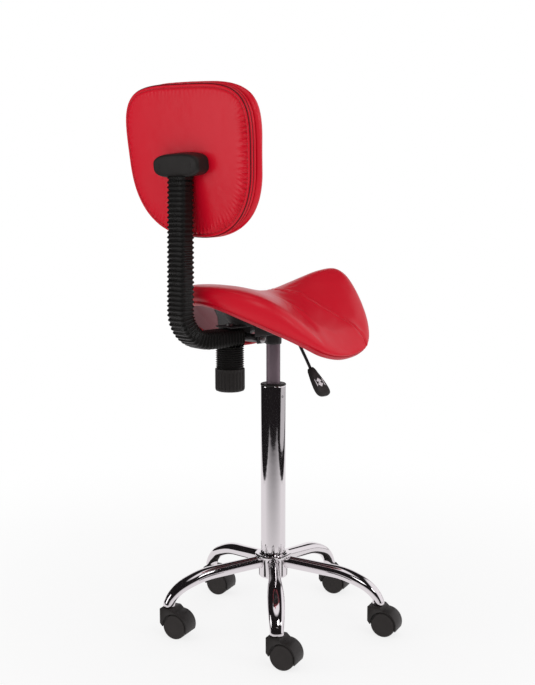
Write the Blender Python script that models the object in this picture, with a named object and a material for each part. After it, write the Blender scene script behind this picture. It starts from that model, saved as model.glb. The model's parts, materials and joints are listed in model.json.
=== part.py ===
"""Rolling saddle stool with a sprung backrest, as separate solids. Metres, +Z up, the sitter faces -Y."""

import math

import bmesh
import bpy
from mathutils import Matrix, Vector

GAP = 0.0003                     # clearance left between pieces that touch

# where the column stands, so that the whole stool's box is centred on the origin
STAND = Vector((0.0009, -0.0017, 0.0))   # brings the middle of the whole stool onto the origin

# five-arm base
ARM_COUNT = 5
FIRST_ARM_ANGLE = math.radians(138.5)
HUB_RADIUS = 0.0292
HUB_TOP = 0.1435
HUB_BOTTOM = 0.0985
ARM_END_Z = 0.0620
STEM_REACH = 0.2165              # column axis to caster stem
SOCKET_RADIUS = 0.0095

# twin-wheel hooded casters
TRAIL_ANGLE = math.radians(201.0)
TRAIL = 0.0180                   # stem axis to wheel axis, level
WHEEL_RADIUS = 0.0250
WHEEL_INNER = 0.0045             # wheel faces, measured from the caster's middle plane
WHEEL_OUTER = 0.0190
HOOD_HALF_WIDTH = 0.0195
HOOD_RADIUS = 0.0284
STEM_RADIUS = 0.0055
AXLE_RADIUS = 0.0030

# column and gas lift
TUBE_RADIUS = 0.0250
TUBE_WALL = 0.0015
TUBE_BOTTOM = 0.1045
TUBE_TOP = 0.4925
CYLINDER_RADIUS = 0.0140
CYLINDER_BOTTOM = 0.2050
CYLINDER_TOP = 0.6020
ROD_RADIUS = 0.0050
SCREW_ANGLE = math.radians(-176.0)
SCREW_Z = 0.4720

# tilt and height mechanism under the seat
PLATE_TOP = 0.6210
PLATE_THICKNESS = 0.0030
HOUSING_HALF = 0.0400
PIVOT = Vector((0.0, 0.0530, 0.5920))
LEVER_PIVOT = Vector((-0.0240, 0.0, 0.6113))
LEVER_RADIUS = 0.0030
KNOB_Y = 0.1146
KNOB_RADIUS = 0.0286
KNOB_BOTTOM = 0.4940
KNOB_TOP = 0.5386
FLUTES = 24

# J-shaped back bar and the bellows over it
BAR_HALF_WIDTH = 0.0210
BAR_THICKNESS = 0.0080
LEVEL_Z = 0.5965                 # centre of the bar's level run
UPRIGHT_Y = 0.2340               # centre of the upright just above the bend
UPRIGHT_TOP_Y = 0.2308           # and at its top
BEND_RADIUS = 0.0580
BAR_TOP = 0.9350
BELLOWS_HALF_WIDTH = 0.0254
BELLOWS_HALF_DEPTH = 0.0148
BELLOWS_TOP = 0.8995
BELLOWS_FRONT = 0.0985

# saddle seat
SEAT_HALF_WIDTH = 0.1615
SEAT_HALF_LENGTH = 0.1990
SEAT_SQUARENESS = 2.15
CORNER_BULGE = 0.060             # how much fuller the front corners are than the plain outline
FRONT_TRIM = 0.016
SKIRT_DEPTH = 0.019               # how much further the edge hangs down at the rear corners
CUSHION_THICKNESS = 0.0340
EDGE_THINNING = 0.0120           # how much thinner the cushion is at its edge
PAN_THICKNESS = 0.0080
SEAT_SEGMENTS = 32
FRACTIONS = (0.12, 0.30, 0.46, 0.54, 0.70, 0.84, 0.94)

# backrest, in a frame that leans back about its middle
BACK_MIDDLE = Vector((0.0, 0.2180, 0.9235))
BACK_LEAN = math.radians(7.4)
BACK_HALF_WIDTH = 0.1740
BACK_HALF_HEIGHT = 0.1390
BACK_RAISE = 0.0045              # middle of the outline above the frame's middle
BACK_TAPER = 0.060               # how much wider it is at the top than at the middle
BACK_SEGMENTS = 36
PANEL_THICKNESS = 0.0060
BOARD_THICKNESS = 0.0100
BACK_CUSHION_THICKNESS = 0.0300
COVER_HALF_WIDTH = 0.0655
COVER_HALF_HEIGHT = 0.0205
COVER_DEPTH = 0.0285


def clear_scene():
    for item in list(bpy.data.objects):
        bpy.data.objects.remove(item, do_unlink=True)


def material(name, color, roughness, metallic=0.0):
    made = bpy.data.materials.new(name)
    made.use_nodes = True
    shader = made.node_tree.nodes["Principled BSDF"]
    shader.inputs["Base Color"].default_value = (*color, 1.0)
    shader.inputs["Roughness"].default_value = roughness
    shader.inputs["Metallic"].default_value = metallic
    return made


def empty(name, location=(0, 0, 0), rotation=(0, 0, 0), parent=None):
    made = bpy.data.objects.new(name, None)
    made.location = location
    made.rotation_euler = rotation
    made.parent = parent
    bpy.context.scene.collection.objects.link(made)
    return made


def add_object(name, bm, finish, parent, origin=(0, 0, 0), rotation=0.0, sharp=40.0):
    """A mesh object from bm, whose points are given from the parent's origin, with its own origin at `origin`."""
    bmesh.ops.recalc_face_normals(bm, faces=bm.faces)
    bmesh.ops.translate(bm, verts=bm.verts, vec=-Vector(origin))
    mesh = bpy.data.meshes.new(name)
    bm.to_mesh(mesh)
    bm.free()
    mesh.shade_smooth()
    mesh.set_sharp_from_angle(angle=math.radians(sharp))
    if finish:
        mesh.materials.append(finish)
    made = bpy.data.objects.new(name, mesh)
    made.location = Matrix.Rotation(rotation, 3, "Z") @ Vector(origin)
    made.rotation_euler = (0, 0, rotation)
    made.parent = parent
    bpy.context.scene.collection.objects.link(made)
    return made


def copy_object(source, name, parent, location=None, rotation=None):
    """Another object on the same mesh, with the same modifiers."""
    made = source.copy()
    made.name = name
    made.parent = parent
    if location is not None:
        made.location = location
    if rotation is not None:
        made.rotation_euler = rotation
    bpy.context.scene.collection.objects.link(made)
    return made


def combine(target, other, operation):
    """Cuts `other` from the target, or joins it on, and hides `other` as a helper."""
    step = target.modifiers.new(other.name, "BOOLEAN")
    step.operation = operation
    step.solver = "EXACT"
    step.object = other
    other.hide_render = True
    other.display_type = "WIRE"


def loft(rings, cap_start=True, cap_end=True, closed=False):
    """A skin over rings of equal count, or of one point. A closed loft joins its last ring to its first."""
    bm = bmesh.new()
    rows = [[bm.verts.new(point) for point in ring] for ring in rings]
    pairs = list(zip(rows, rows[1:])) + ([(rows[-1], rows[0])] if closed else [])
    for low, high in pairs:
        count = max(len(low), len(high))
        for i in range(count):
            j = (i + 1) % count
            corners = [low[i % len(low)], low[j % len(low)], high[j % len(high)], high[i % len(high)]]
            bm.faces.new(list(dict.fromkeys(corners)))
    if cap_start and not closed and len(rows[0]) > 1:
        bm.faces.new(rows[0])
    if cap_end and not closed and len(rows[-1]) > 1:
        bm.faces.new(rows[-1])
    return bm


def split_evenly(bm):
    """Halves every quad across its shorter diagonal, so that matching skins stay matched."""
    bmesh.ops.triangulate(bm, faces=bm.faces[:], quad_method="SHORT_EDGE")
    return bm


def turned(profile, segments, axis="Z", centre=(0, 0, 0)):
    """A solid of revolution. The profile's (radius, height) points start and end on the axis, or form a loop."""
    bm = bmesh.new()
    rows = []
    for radius, height in profile:
        if radius == 0:
            rows.append([bm.verts.new((0, 0, height))])
            continue
        turn = [2 * math.pi * i / segments for i in range(segments)]
        rows.append([bm.verts.new((radius * math.cos(a), radius * math.sin(a), height)) for a in turn])
    pairs = list(zip(rows, rows[1:]))
    if profile[0][0] > 0:
        pairs.append((rows[-1], rows[0]))
    for low, high in pairs:
        for i in range(segments):
            j = (i + 1) % segments
            corners = [low[i % len(low)], low[j % len(low)], high[j % len(high)], high[i % len(high)]]
            bm.faces.new(list(dict.fromkeys(corners)))
    turn_to = {"Z": Matrix.Identity(3), "X": Matrix.Rotation(math.pi / 2, 3, "Y"),
               "Y": Matrix.Rotation(-math.pi / 2, 3, "X")}[axis]
    bmesh.ops.rotate(bm, verts=bm.verts, cent=(0, 0, 0), matrix=turn_to)
    bmesh.ops.translate(bm, verts=bm.verts, vec=centre)
    return bm


def box(low, high):
    bm = bmesh.new()
    bmesh.ops.create_cube(bm, size=1.0)
    low, high = Vector(low), Vector(high)
    size = high - low
    for vert in bm.verts:
        vert.co = Vector(((vert.co[i] + 0.5) * size[i] + low[i] for i in range(3)))
    return bm


def bevelled(bm, width, segments=2):
    bmesh.ops.bevel(bm, geom=bm.edges[:], offset=width, segments=segments, affect="EDGES", profile=0.5)
    return bm


def smoothstep(low, high, value):
    t = min(max((value - low) / (high - low), 0.0), 1.0)
    return t * t * (3 - 2 * t)


def superellipse(half_x, half_y, squareness, angle):
    c, s = math.cos(angle), math.sin(angle)
    power = 2 / squareness
    return half_x * math.copysign(abs(c) ** power, c), half_y * math.copysign(abs(s) ** power, s)


def spline(points, steps):
    """Points along a Catmull-Rom curve through the given ones."""
    ends = [2 * points[0] - points[1], *points, 2 * points[-1] - points[-2]]
    found = []
    for p, q, r, s in zip(ends, ends[1:], ends[2:], ends[3:]):
        for k in range(steps):
            t = k / steps
            found.append(0.5 * (2 * q + (r - p) * t + (2 * p - 5 * q + 4 * r - s) * t * t
                                + (3 * q - p - 3 * r + s) * t ** 3))
    return found + [points[-1]]


def section_rings(path, across, half_sizes, squareness, segments):
    """Superelliptic sections along a flat path. `across` is the path plane's normal."""
    rings = []
    for i, point in enumerate(path):
        ahead = path[min(i + 1, len(path) - 1)] - path[max(i - 1, 0)]
        up = ahead.normalized().cross(across)
        wide, tall = half_sizes(i / (len(path) - 1))
        ring = []
        for k in range(segments):
            a, b = superellipse(wide, tall, squareness, 2 * math.pi * (k + 0.5) / segments)
            ring.append(point + across * a + up * b)
        rings.append(ring)
    return rings


# ---------------------------------------------------------------- base

def make_hub(stool, chrome):
    bore = TUBE_RADIUS + GAP
    floor = HUB_BOTTOM + 0.0020
    profile = [(0.0125, HUB_BOTTOM), (0.0125, floor), (bore, floor), (bore, HUB_TOP + 0.0040),
               (0.0355, HUB_TOP + 0.0040), (0.0370, HUB_TOP + 0.0025), (0.0370, HUB_TOP + 0.0010),
               (0.0360, HUB_TOP), (HUB_RADIUS, HUB_TOP), (HUB_RADIUS, HUB_BOTTOM + 0.0020),
               (HUB_RADIUS - 0.0015, HUB_BOTTOM)]
    add_object("base_hub", turned(profile, 32), chrome, stool)


def arm_path():
    start = HUB_RADIUS + 0.0010
    route = [(start, 0.1295), (0.0940, 0.1225), (0.1410, 0.1170), (0.1730, 0.1065), (0.1960, 0.0945),
             (0.2130, 0.0785), (0.2225, ARM_END_Z)]
    return spline([Vector((r, 0, z)) for r, z in route], 2)


def arm_sizes(t):
    """Half width and half height of the pressed tube: round at the hub, flattened at the bend."""
    spread = smoothstep(0.0, 0.5, t) * (1 - 0.75 * smoothstep(0.55, 1.0, t))
    return 0.0118 + 0.0048 * spread, 0.0124 - 0.0026 * smoothstep(0.3, 1.0, t)


def make_arms(stool, chrome):
    across = Vector((0, 1, 0))
    path = arm_path()
    outer = section_rings(path, across, arm_sizes, 2.0, 12)
    inner = section_rings(path[:-3], across, lambda t: [s - 0.0020 for s in arm_sizes(0.75 * t)], 2.0, 12)
    for ring in (outer[-1], outer[0]):
        level_end(ring, ring is outer[0])
    for point in inner[0]:
        point.x = outer[0][0].x
    blank = loft(inner[::-1] + outer)
    first = add_object("base_arm_1", blank, chrome, stool, rotation=FIRST_ARM_ANGLE)
    socket = add_object("socket_blank", turned([(0, ARM_END_Z), (SOCKET_RADIUS, ARM_END_Z),
                        (SOCKET_RADIUS, 0.0880), (0, 0.0880)], 16, centre=(STEM_REACH, 0, 0)), None, stool,
                        rotation=FIRST_ARM_ANGLE)
    bore = add_object("stem_bore", turned([(0, 0.0550), (STEM_RADIUS + GAP, 0.0550),
                      (STEM_RADIUS + GAP, 0.0850), (0, 0.0850)], 12, centre=(STEM_REACH, 0, 0)), None, stool,
                      rotation=FIRST_ARM_ANGLE)
    combine(first, socket, "UNION")
    combine(first, bore, "DIFFERENCE")
    bpy.context.view_layer.update()
    finished = bpy.data.meshes.new_from_object(first.evaluated_get(bpy.context.evaluated_depsgraph_get()))
    first.modifiers.clear()
    first.data = finished
    for i in range(1, ARM_COUNT):
        turn = FIRST_ARM_ANGLE + 2 * math.pi * i / ARM_COUNT
        copy_object(first, f"base_arm_{i + 1}", stool, rotation=(0, 0, turn))


def level_end(ring, upright):
    """Flattens an end ring: upright against the hub, or level over the caster."""
    for point in ring:
        if upright:
            point.x = HUB_RADIUS + 0.0010
        else:
            point.z = ARM_END_Z


# ---------------------------------------------------------------- casters

def hood_outline():
    """Side outline of the hood as (along the trail, up), clockwise from its front foot."""
    centre = (TRAIL, WHEEL_RADIUS)
    points = [(-0.0130, 0.0270), (-0.0135, 0.0550), (-0.0105, 0.0592), (0.0115, 0.0592)]
    for i in range(9):
        angle = math.radians(92 - 95 * i / 8)
        points.append((centre[0] + HOOD_RADIUS * math.cos(angle), centre[1] + HOOD_RADIUS * math.sin(angle)))
    return points


def make_hood_blank(stool, plastic):
    sides = (-HOOD_HALF_WIDTH, -HOOD_HALF_WIDTH + 0.0015, HOOD_HALF_WIDTH - 0.0015, HOOD_HALF_WIDTH)
    insets = (0.0012, 0.0, 0.0, 0.0012)
    middle = Vector((0.0150, 0.0400))
    rings = []
    for side, inset in zip(sides, insets):
        ring = []
        for x, z in hood_outline():
            towards = (middle - Vector((x, z))).normalized() * inset
            ring.append((x + towards.x, side, z + towards.y))
        rings.append(ring)
    hood = add_object("hood_blank", loft(rings), plastic, stool)
    pocket_radius = WHEEL_RADIUS + 0.0010
    web = add_object("hood_web", turned([(0, -0.0100), (0.0120, -0.0100), (0.0120, 0.0100), (0, 0.0100)], 16,
                     "Y", (TRAIL, 0, WHEEL_RADIUS)), None, stool)
    helpers = [("UNION", web)]
    for side in (-1, 1):
        ends = sorted((side * 0.0040, side * 0.0300))
        helpers.append(("DIFFERENCE", add_object(f"pocket_{side}", turned([(0, ends[0]),
                       (pocket_radius, ends[0]), (pocket_radius, ends[1]), (0, ends[1])], 24, "Y",
                       (TRAIL, 0, WHEEL_RADIUS)), None, stool)))
    helpers.append(("DIFFERENCE", add_object("axle_bore", turned([(0, -0.0300), (AXLE_RADIUS + GAP, -0.0300),
                   (AXLE_RADIUS + GAP, 0.0300), (0, 0.0300)], 12, "Y", (TRAIL, 0, WHEEL_RADIUS)), None, stool)))
    helpers.append(("DIFFERENCE", add_object("stem_recess", turned([(0, 0.0512), (STEM_RADIUS + GAP, 0.0512),
                   (STEM_RADIUS + GAP, 0.0650), (0, 0.0650)], 12), None, stool)))
    for operation, helper in helpers:
        combine(hood, helper, operation)
    bpy.context.view_layer.update()
    finished = bpy.data.meshes.new_from_object(hood.evaluated_get(bpy.context.evaluated_depsgraph_get()))
    for item in [hood] + [helper for _, helper in helpers]:
        bpy.data.objects.remove(item, do_unlink=True)
    return finished


def wheel_mesh(plastic, side):
    """A wheel about its own axis, whose plain outer face covers the axle's end."""
    inner, outer = WHEEL_INNER, WHEEL_OUTER
    bore_end = 0.0165
    bore = AXLE_RADIUS + GAP
    profile = [(0, outer), (WHEEL_RADIUS - 0.0015, outer - 0.0008), (WHEEL_RADIUS, outer - 0.0030),
               (WHEEL_RADIUS, inner + 0.0030),
               (WHEEL_RADIUS - 0.0015, inner), (bore, inner), (bore, bore_end), (0, bore_end)]
    bm = turned([(r, side * h) for r, h in profile], 20, "Y")
    holder = add_object("wheel_blank", bm, plastic, None)
    mesh = holder.data
    bpy.data.objects.remove(holder, do_unlink=True)
    return mesh


def place_mesh(name, mesh, parent, location=(0, 0, 0)):
    made = bpy.data.objects.new(name, mesh)
    made.location = location
    made.parent = parent
    bpy.context.scene.collection.objects.link(made)
    return made


def make_casters(stool, plastic, steel):
    hood = make_hood_blank(stool, plastic)
    wheels = {"a": wheel_mesh(plastic, -1), "b": wheel_mesh(plastic, 1)}
    stem_profile = [(0, 0.0515), (STEM_RADIUS, 0.0515), (STEM_RADIUS, 0.0595), (0.0085, 0.0595),
                    (0.0085, ARM_END_Z - GAP), (STEM_RADIUS, ARM_END_Z - GAP), (STEM_RADIUS, 0.0840),
                    (0, 0.0845)]
    axle_profile = [(0, -0.0160), (AXLE_RADIUS, -0.0160), (AXLE_RADIUS, 0.0160), (0, 0.0160)]
    for i in range(ARM_COUNT):
        turn = FIRST_ARM_ANGLE + 2 * math.pi * i / ARM_COUNT
        place = (STEM_REACH * math.cos(turn), STEM_REACH * math.sin(turn), 0)
        caster = empty(f"caster_{i + 1}", place, (0, 0, TRAIL_ANGLE), stool)
        hub = (TRAIL, 0, WHEEL_RADIUS)
        place_mesh(f"caster_hood_{i + 1}", hood, caster)
        add_object(f"caster_stem_{i + 1}", turned(stem_profile, 12), steel, caster)
        axle = add_object(f"caster_axle_{i + 1}", turned(axle_profile, 12, "Y"), steel, caster)
        axle.location = hub
        for letter, mesh in wheels.items():
            place_mesh(f"caster_wheel_{i + 1}{letter}", mesh, caster, hub)


# ---------------------------------------------------------------- column and gas lift

def make_column(stool, chrome, plastic, steel):
    inner = TUBE_RADIUS - TUBE_WALL
    tube = add_object("column_tube", turned([(0.0056, TUBE_BOTTOM), (0.0056, TUBE_BOTTOM + 0.0030),
                      (inner, TUBE_BOTTOM + 0.0030), (inner, TUBE_TOP), (TUBE_RADIUS, TUBE_TOP),
                      (TUBE_RADIUS, TUBE_BOTTOM)], 32), chrome, stool)
    out = Vector((math.cos(SCREW_ANGLE), math.sin(SCREW_ANGLE), 0))
    turn = Matrix.Rotation(SCREW_ANGLE, 3, "Z")
    holes = []
    for name, radius, low, high in (("screw_hole", 0.0020, 0.0225, 0.0270), ("column_screw", 0.0017, 0.0237, 0.0252)):
        bm = turned([(0, low), (radius, low), (radius, high), (0, high)], 10, "X")
        bmesh.ops.rotate(bm, verts=bm.verts, cent=(0, 0, 0), matrix=turn)
        bmesh.ops.translate(bm, verts=bm.verts, vec=(0, 0, SCREW_Z))
        holes.append(add_object(name, bm, steel, stool, origin=out * low + Vector((0, 0, SCREW_Z))))
    combine(tube, holes[0], "DIFFERENCE")
    bush_inner = CYLINDER_RADIUS + GAP
    add_object("column_bush", turned([(bush_inner, 0.4000), (bush_inner, TUBE_TOP + 0.0040),
               (0.0245, TUBE_TOP + 0.0040), (0.0257, TUBE_TOP + 0.0028), (0.0257, TUBE_TOP + GAP),
               (inner - GAP, TUBE_TOP + GAP), (inner - GAP, 0.4000)], 32), plastic, stool)


def make_gas_lift(stool, steel, dark_steel, plastic):
    wall = 0.0015
    hollow = CYLINDER_RADIUS - wall
    neck = ROD_RADIUS + GAP
    pin_hole = 0.0045
    add_object("gas_cylinder", turned([
        (neck, CYLINDER_BOTTOM), (neck, CYLINDER_BOTTOM + 0.0080), (hollow, CYLINDER_BOTTOM + 0.0080),
        (hollow, 0.5700), (0.0115, CYLINDER_TOP - 0.0030), (pin_hole, CYLINDER_TOP - 0.0030),
        (pin_hole, CYLINDER_TOP), (0.0130, CYLINDER_TOP), (CYLINDER_RADIUS, 0.5770),
        (CYLINDER_RADIUS, CYLINDER_BOTTOM)], 24), steel, stool)
    bearing_bottom = TUBE_BOTTOM + 0.0030 + GAP
    bearing_top = bearing_bottom + 0.0060
    add_object("thrust_bearing", turned([(0.0056, bearing_bottom), (0.0056, bearing_top),
               (0.0130, bearing_top), (0.0130, bearing_bottom)], 20), dark_steel, stool)
    collar = bearing_top + GAP
    add_object("piston_rod", turned([
        (0, 0.1010), (ROD_RADIUS, 0.1010), (ROD_RADIUS, collar), (0.0090, collar), (0.0090, collar + 0.0040),
        (ROD_RADIUS, collar + 0.0040), (ROD_RADIUS, 0.3300), (0.0121, 0.3300), (0.0121, 0.3450),
        (0, 0.3450)], 16), steel, stool)
    clip = 0.0020
    add_object("retaining_clip", turned([(ROD_RADIUS + GAP, TUBE_BOTTOM - GAP - clip),
               (ROD_RADIUS + GAP, TUBE_BOTTOM - GAP), (0.0100, TUBE_BOTTOM - GAP),
               (0.0100, TUBE_BOTTOM - GAP - clip)], 16), dark_steel, stool)
    button_top = LEVER_PIVOT.z - LEVER_RADIUS - GAP
    add_object("release_button", turned([(0, 0.5940), (pin_hole - GAP, 0.5940), (pin_hole - GAP, button_top - 0.001),
               (pin_hole - 0.001, button_top), (0, button_top)], 12), plastic, stool)


# ---------------------------------------------------------------- mechanism

def make_seat_plate(stool, black_steel):
    """Inverted tray under the seat: top plate with a rear tongue, side walls, pivot ears and socket hole."""
    under = PLATE_TOP - PLATE_THICKNESS
    plate = add_object("seat_plate", box((-HOUSING_HALF, -0.0750, under), (HOUSING_HALF, 0.0850, PLATE_TOP)),
                       black_steel, stool)
    sunk = under + 0.0010
    wall = 0.0025
    joins = [((-0.0220, 0.0840, under), (0.0220, 0.1320, PLATE_TOP))]
    for side in (-1, 1):
        x = sorted((side * HOUSING_HALF, side * (HOUSING_HALF - wall)))
        joins.append(((x[0], -0.0750, 0.6000), (x[1], 0.0850, sunk)))
        ear = sorted((side * 0.0225, side * 0.0255))
        joins.append(((ear[0], 0.0400, 0.5835), (ear[1], 0.0660, sunk)))
    joins.append(((-HOUSING_HALF, -0.0750, 0.6000), (HOUSING_HALF, -0.0725, sunk)))
    for i, (low, high) in enumerate(joins):
        combine(plate, add_object(f"plate_piece_{i}", box(low, high), None, stool), "UNION")
    cuts = [box((-0.0500, -0.0070, 0.5950), (-0.0350, 0.0070, 0.6172)),
            turned([(0, -0.0400), (0.0043, -0.0400), (0.0043, 0.0400), (0, 0.0400)], 12, "X", PIVOT),
            turned([(0, 0.6100), (0.0043, 0.6100), (0.0043, 0.6300), (0, 0.6300)], 12, centre=(0, KNOB_Y, 0))]
    for i, bm in enumerate(cuts):
        combine(plate, add_object(f"plate_cut_{i}", bm, None, stool), "DIFFERENCE")


def make_socket(stool, black_steel):
    add_object("taper_socket", turned([(0.0143, 0.5770), (0.01335, CYLINDER_TOP), (0.01335, 0.6045),
               (0.0165, 0.6045), (0.0165, 0.5785), (0.0158, 0.5770)], 24), black_steel, stool)


def make_height_lever(stool, steel, plastic):
    route = [(0.0050, 0.6113), (-0.0300, 0.6113), (-0.0480, 0.6065), (-0.0640, 0.5935), (-0.0850, 0.5660),
             (-0.1075, 0.5335)]
    path = spline([Vector((x, 0, z)) for x, z in route], 3)
    rings = section_rings(path, Vector((0, 1, 0)), lambda t: (LEVER_RADIUS, LEVER_RADIUS), 2.0, 10)
    rod = add_object("lever_rod", loft(rings), steel, stool, origin=LEVER_PIVOT)
    hole = add_object("lever_pin_hole", turned([(0, -0.0100), (0.0013, -0.0100), (0.0013, 0.0100), (0, 0.0100)],
                      8, "Y", LEVER_PIVOT), None, stool)
    combine(rod, hole, "DIFFERENCE")
    pin = turned([(0, -0.0120), (0.0010, -0.0120), (0.0010, 0.0120), (0, 0.0120)], 8, "Y", LEVER_PIVOT)
    add_object("lever_pin", pin, steel, stool, origin=LEVER_PIVOT)
    make_lever_paddle(stool, plastic, path[-1], (path[-1] - path[-2]).normalized())


def make_lever_paddle(stool, plastic, end, along):
    """Flat tapered grip, wider at its end, with a bore for the rod."""
    along = (along + Vector((-0.10, 0, 0.03))).normalized()
    flat = Vector((0, 1, 0))
    side = along.cross(flat)
    start = end - along * 0.0040
    stations = ((0.0, 0.0062, 0.0050), (0.004, 0.0085, 0.0062), (0.020, 0.0125, 0.0066), (0.040, 0.0168, 0.0062),
                (0.054, 0.0175, 0.0052), (0.060, 0.0120, 0.0036))
    rings = []
    for distance, wide, thick in stations:
        ring = []
        for k in range(16):
            a, b = superellipse(wide, thick, 3.0, 2 * math.pi * (k + 0.5) / 16)
            ring.append(start + along * distance + flat * a + side * b)
        rings.append(ring)
    paddle = add_object("lever_paddle", loft(rings), plastic, stool, origin=LEVER_PIVOT)
    bore_path = [start - along * 0.004, start + along * 0.0046]
    bore = section_rings(bore_path, flat, lambda t: (LEVER_RADIUS + 0.0005, LEVER_RADIUS + 0.0005), 2.0, 12)
    combine(paddle, add_object("paddle_bore", loft(bore), None, stool), "DIFFERENCE")


def make_tension_knob(stool, plastic, rubber, steel):
    """Sprung tension screw behind the column: bolt, spring, washer, bellows and fluted knob."""
    at = (0, KNOB_Y, 0)
    add_object("tension_bolt", turned([(0, 0.5085), (0.0040, 0.5085), (0.0040, PLATE_TOP + GAP),
               (0.0075, PLATE_TOP + GAP), (0.0075, PLATE_TOP + 0.0040), (0, PLATE_TOP + 0.0040)], 12, centre=at),
               steel, stool, origin=(0, KNOB_Y, KNOB_BOTTOM))
    add_object("spring_washer", turned([(0.0043, 0.5490), (0.0043, 0.5515), (0.0135, 0.5515), (0.0135, 0.5490)],
               16, centre=at), steel, stool, origin=(0, KNOB_Y, KNOB_BOTTOM))
    floor = KNOB_TOP - 0.0080
    profile = [(0, 0.5040), (0.0043, 0.5040), (0.0043, 0.5487), (0.0115, 0.5487), (0.0120, floor), (0.0248, floor),
               (0.0248, KNOB_TOP), (0.0278, KNOB_TOP), (KNOB_RADIUS, KNOB_TOP - 0.0015),
               (KNOB_RADIUS, KNOB_BOTTOM + 0.0050), (0.0262, KNOB_BOTTOM + 0.0012), (0.0150, KNOB_BOTTOM),
               (0, KNOB_BOTTOM)]
    bm = turned(profile, FLUTES * 2)
    for vert in bm.verts:
        ring = vert.co.xy.length
        index = round(math.atan2(vert.co.y, vert.co.x) / (math.pi / FLUTES))
        if ring > 0.0275 and index % 2 and vert.co.z < KNOB_TOP - 0.0010:
            vert.co.xy *= 0.965
    bmesh.ops.translate(bm, verts=bm.verts, vec=at)
    add_object("tension_knob", bm, plastic, stool, origin=(0, KNOB_Y, KNOB_BOTTOM), sharp=25)
    make_tension_spring(stool, steel)
    make_knob_bellows(stool, rubber)


def make_tension_spring(stool, steel):
    turns, points_per_turn = 5, 12
    low, high, radius = 0.5532, LEVEL_Z - BAR_THICKNESS / 2 - 0.0018, 0.0105
    count = turns * points_per_turn
    curve = bpy.data.curves.new("tension_spring", "CURVE")
    curve.dimensions = "3D"
    curve.bevel_depth = 0.0013
    curve.bevel_resolution = 1
    curve.use_fill_caps = True
    line = curve.splines.new("POLY")
    line.points.add(count)
    for i in range(count + 1):
        angle = 2 * math.pi * i / points_per_turn
        height = low + (high - low) * i / count
        line.points[i].co = (radius * math.cos(angle), radius * math.sin(angle), height - KNOB_BOTTOM, 1)
    curve.materials.append(steel)
    made = bpy.data.objects.new("tension_spring", curve)
    made.location = (0, KNOB_Y, KNOB_BOTTOM)
    made.parent = stool
    bpy.context.scene.collection.objects.link(made)


def make_knob_bellows(stool, rubber):
    top = LEVEL_Z + 0.0020 - BELLOWS_HALF_DEPTH - 0.0022 - GAP
    lip = KNOB_TOP - 0.0040
    folds = 4
    first = KNOB_TOP + 0.0012
    outer, inner, wall = 0.0275, 0.0240, 0.0150
    profile = [(wall, lip), (wall, top), (inner, top)]
    pitch = (top - first) / folds
    for i in range(folds):
        level = top - pitch * i
        profile += [(outer, level - 0.3 * pitch), (outer, level - 0.7 * pitch), (inner, level - pitch)]
    profile += [(inner - 0.0005, lip)]
    add_object("knob_bellows", turned(profile, 24, centre=(0, KNOB_Y, 0)), rubber, stool,
               origin=(0, KNOB_Y, KNOB_BOTTOM))


def make_pivot_bolt(stool, steel):
    profile = [(0, -0.0290), (0.0065, -0.0290), (0.0065, -0.0258), (0.0040, -0.0258), (0.0040, 0.0258),
               (0.0065, 0.0258), (0.0065, 0.0290), (0, 0.0290)]
    add_object("pivot_bolt", turned(profile, 12, "X", PIVOT), steel, stool, origin=PIVOT)


# ---------------------------------------------------------------- back bar

def bar_path(start, top, offset=0.0):
    """Level run from `start`, a round bend and the upright, whose level run is `offset` above the bar's."""
    level = LEVEL_Z + offset
    centre = Vector((0, UPRIGHT_Y - BEND_RADIUS, level + BEND_RADIUS))
    path = [Vector((0, start, level)), Vector((0, (start + centre.y) / 2, level))]
    for i in range(9):
        angle = math.radians(-90 + 90 * i / 8)
        path.append(centre + BEND_RADIUS * Vector((0, math.cos(angle), math.sin(angle))))
    for i in range(1, 4):
        height = centre.z + (top - centre.z) * i / 3
        share = (height - centre.z) / (BAR_TOP - centre.z)
        path.append(Vector((0, UPRIGHT_Y + (UPRIGHT_TOP_Y - UPRIGHT_Y) * share, height)))
    return path


def make_back_bar(stool, black_steel):
    """Flat steel bar bent into a J, with a bored knuckle at the pivot and a clearance hole for the bolt."""
    across = Vector((1, 0, 0))
    path = [PIVOT.copy()] + bar_path(0.0900, BAR_TOP)
    rings = section_rings(path, across, lambda t: (BAR_HALF_WIDTH, BAR_THICKNESS / 2), 12, 12)
    bar = add_object("j_bar", loft(rings), black_steel, stool, origin=PIVOT)
    knuckle = turned([(0, -BAR_HALF_WIDTH), (0.0080, -BAR_HALF_WIDTH), (0.0080, BAR_HALF_WIDTH),
                      (0, BAR_HALF_WIDTH)], 16, "X", PIVOT)
    bore = turned([(0, -0.0400), (0.0043, -0.0400), (0.0043, 0.0400), (0, 0.0400)], 12, "X", PIVOT)
    hole = turned([(0, 0.5700), (0.0070, 0.5700), (0.0070, 0.6100), (0, 0.6100)], 12, centre=(0, KNOB_Y, 0))
    for name, bm, operation in (("knuckle", knuckle, "UNION"), ("pivot_bore", bore, "DIFFERENCE"),
                                ("bolt_hole", hole, "DIFFERENCE")):
        combine(bar, add_object(name, bm, None, stool), operation)


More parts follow.
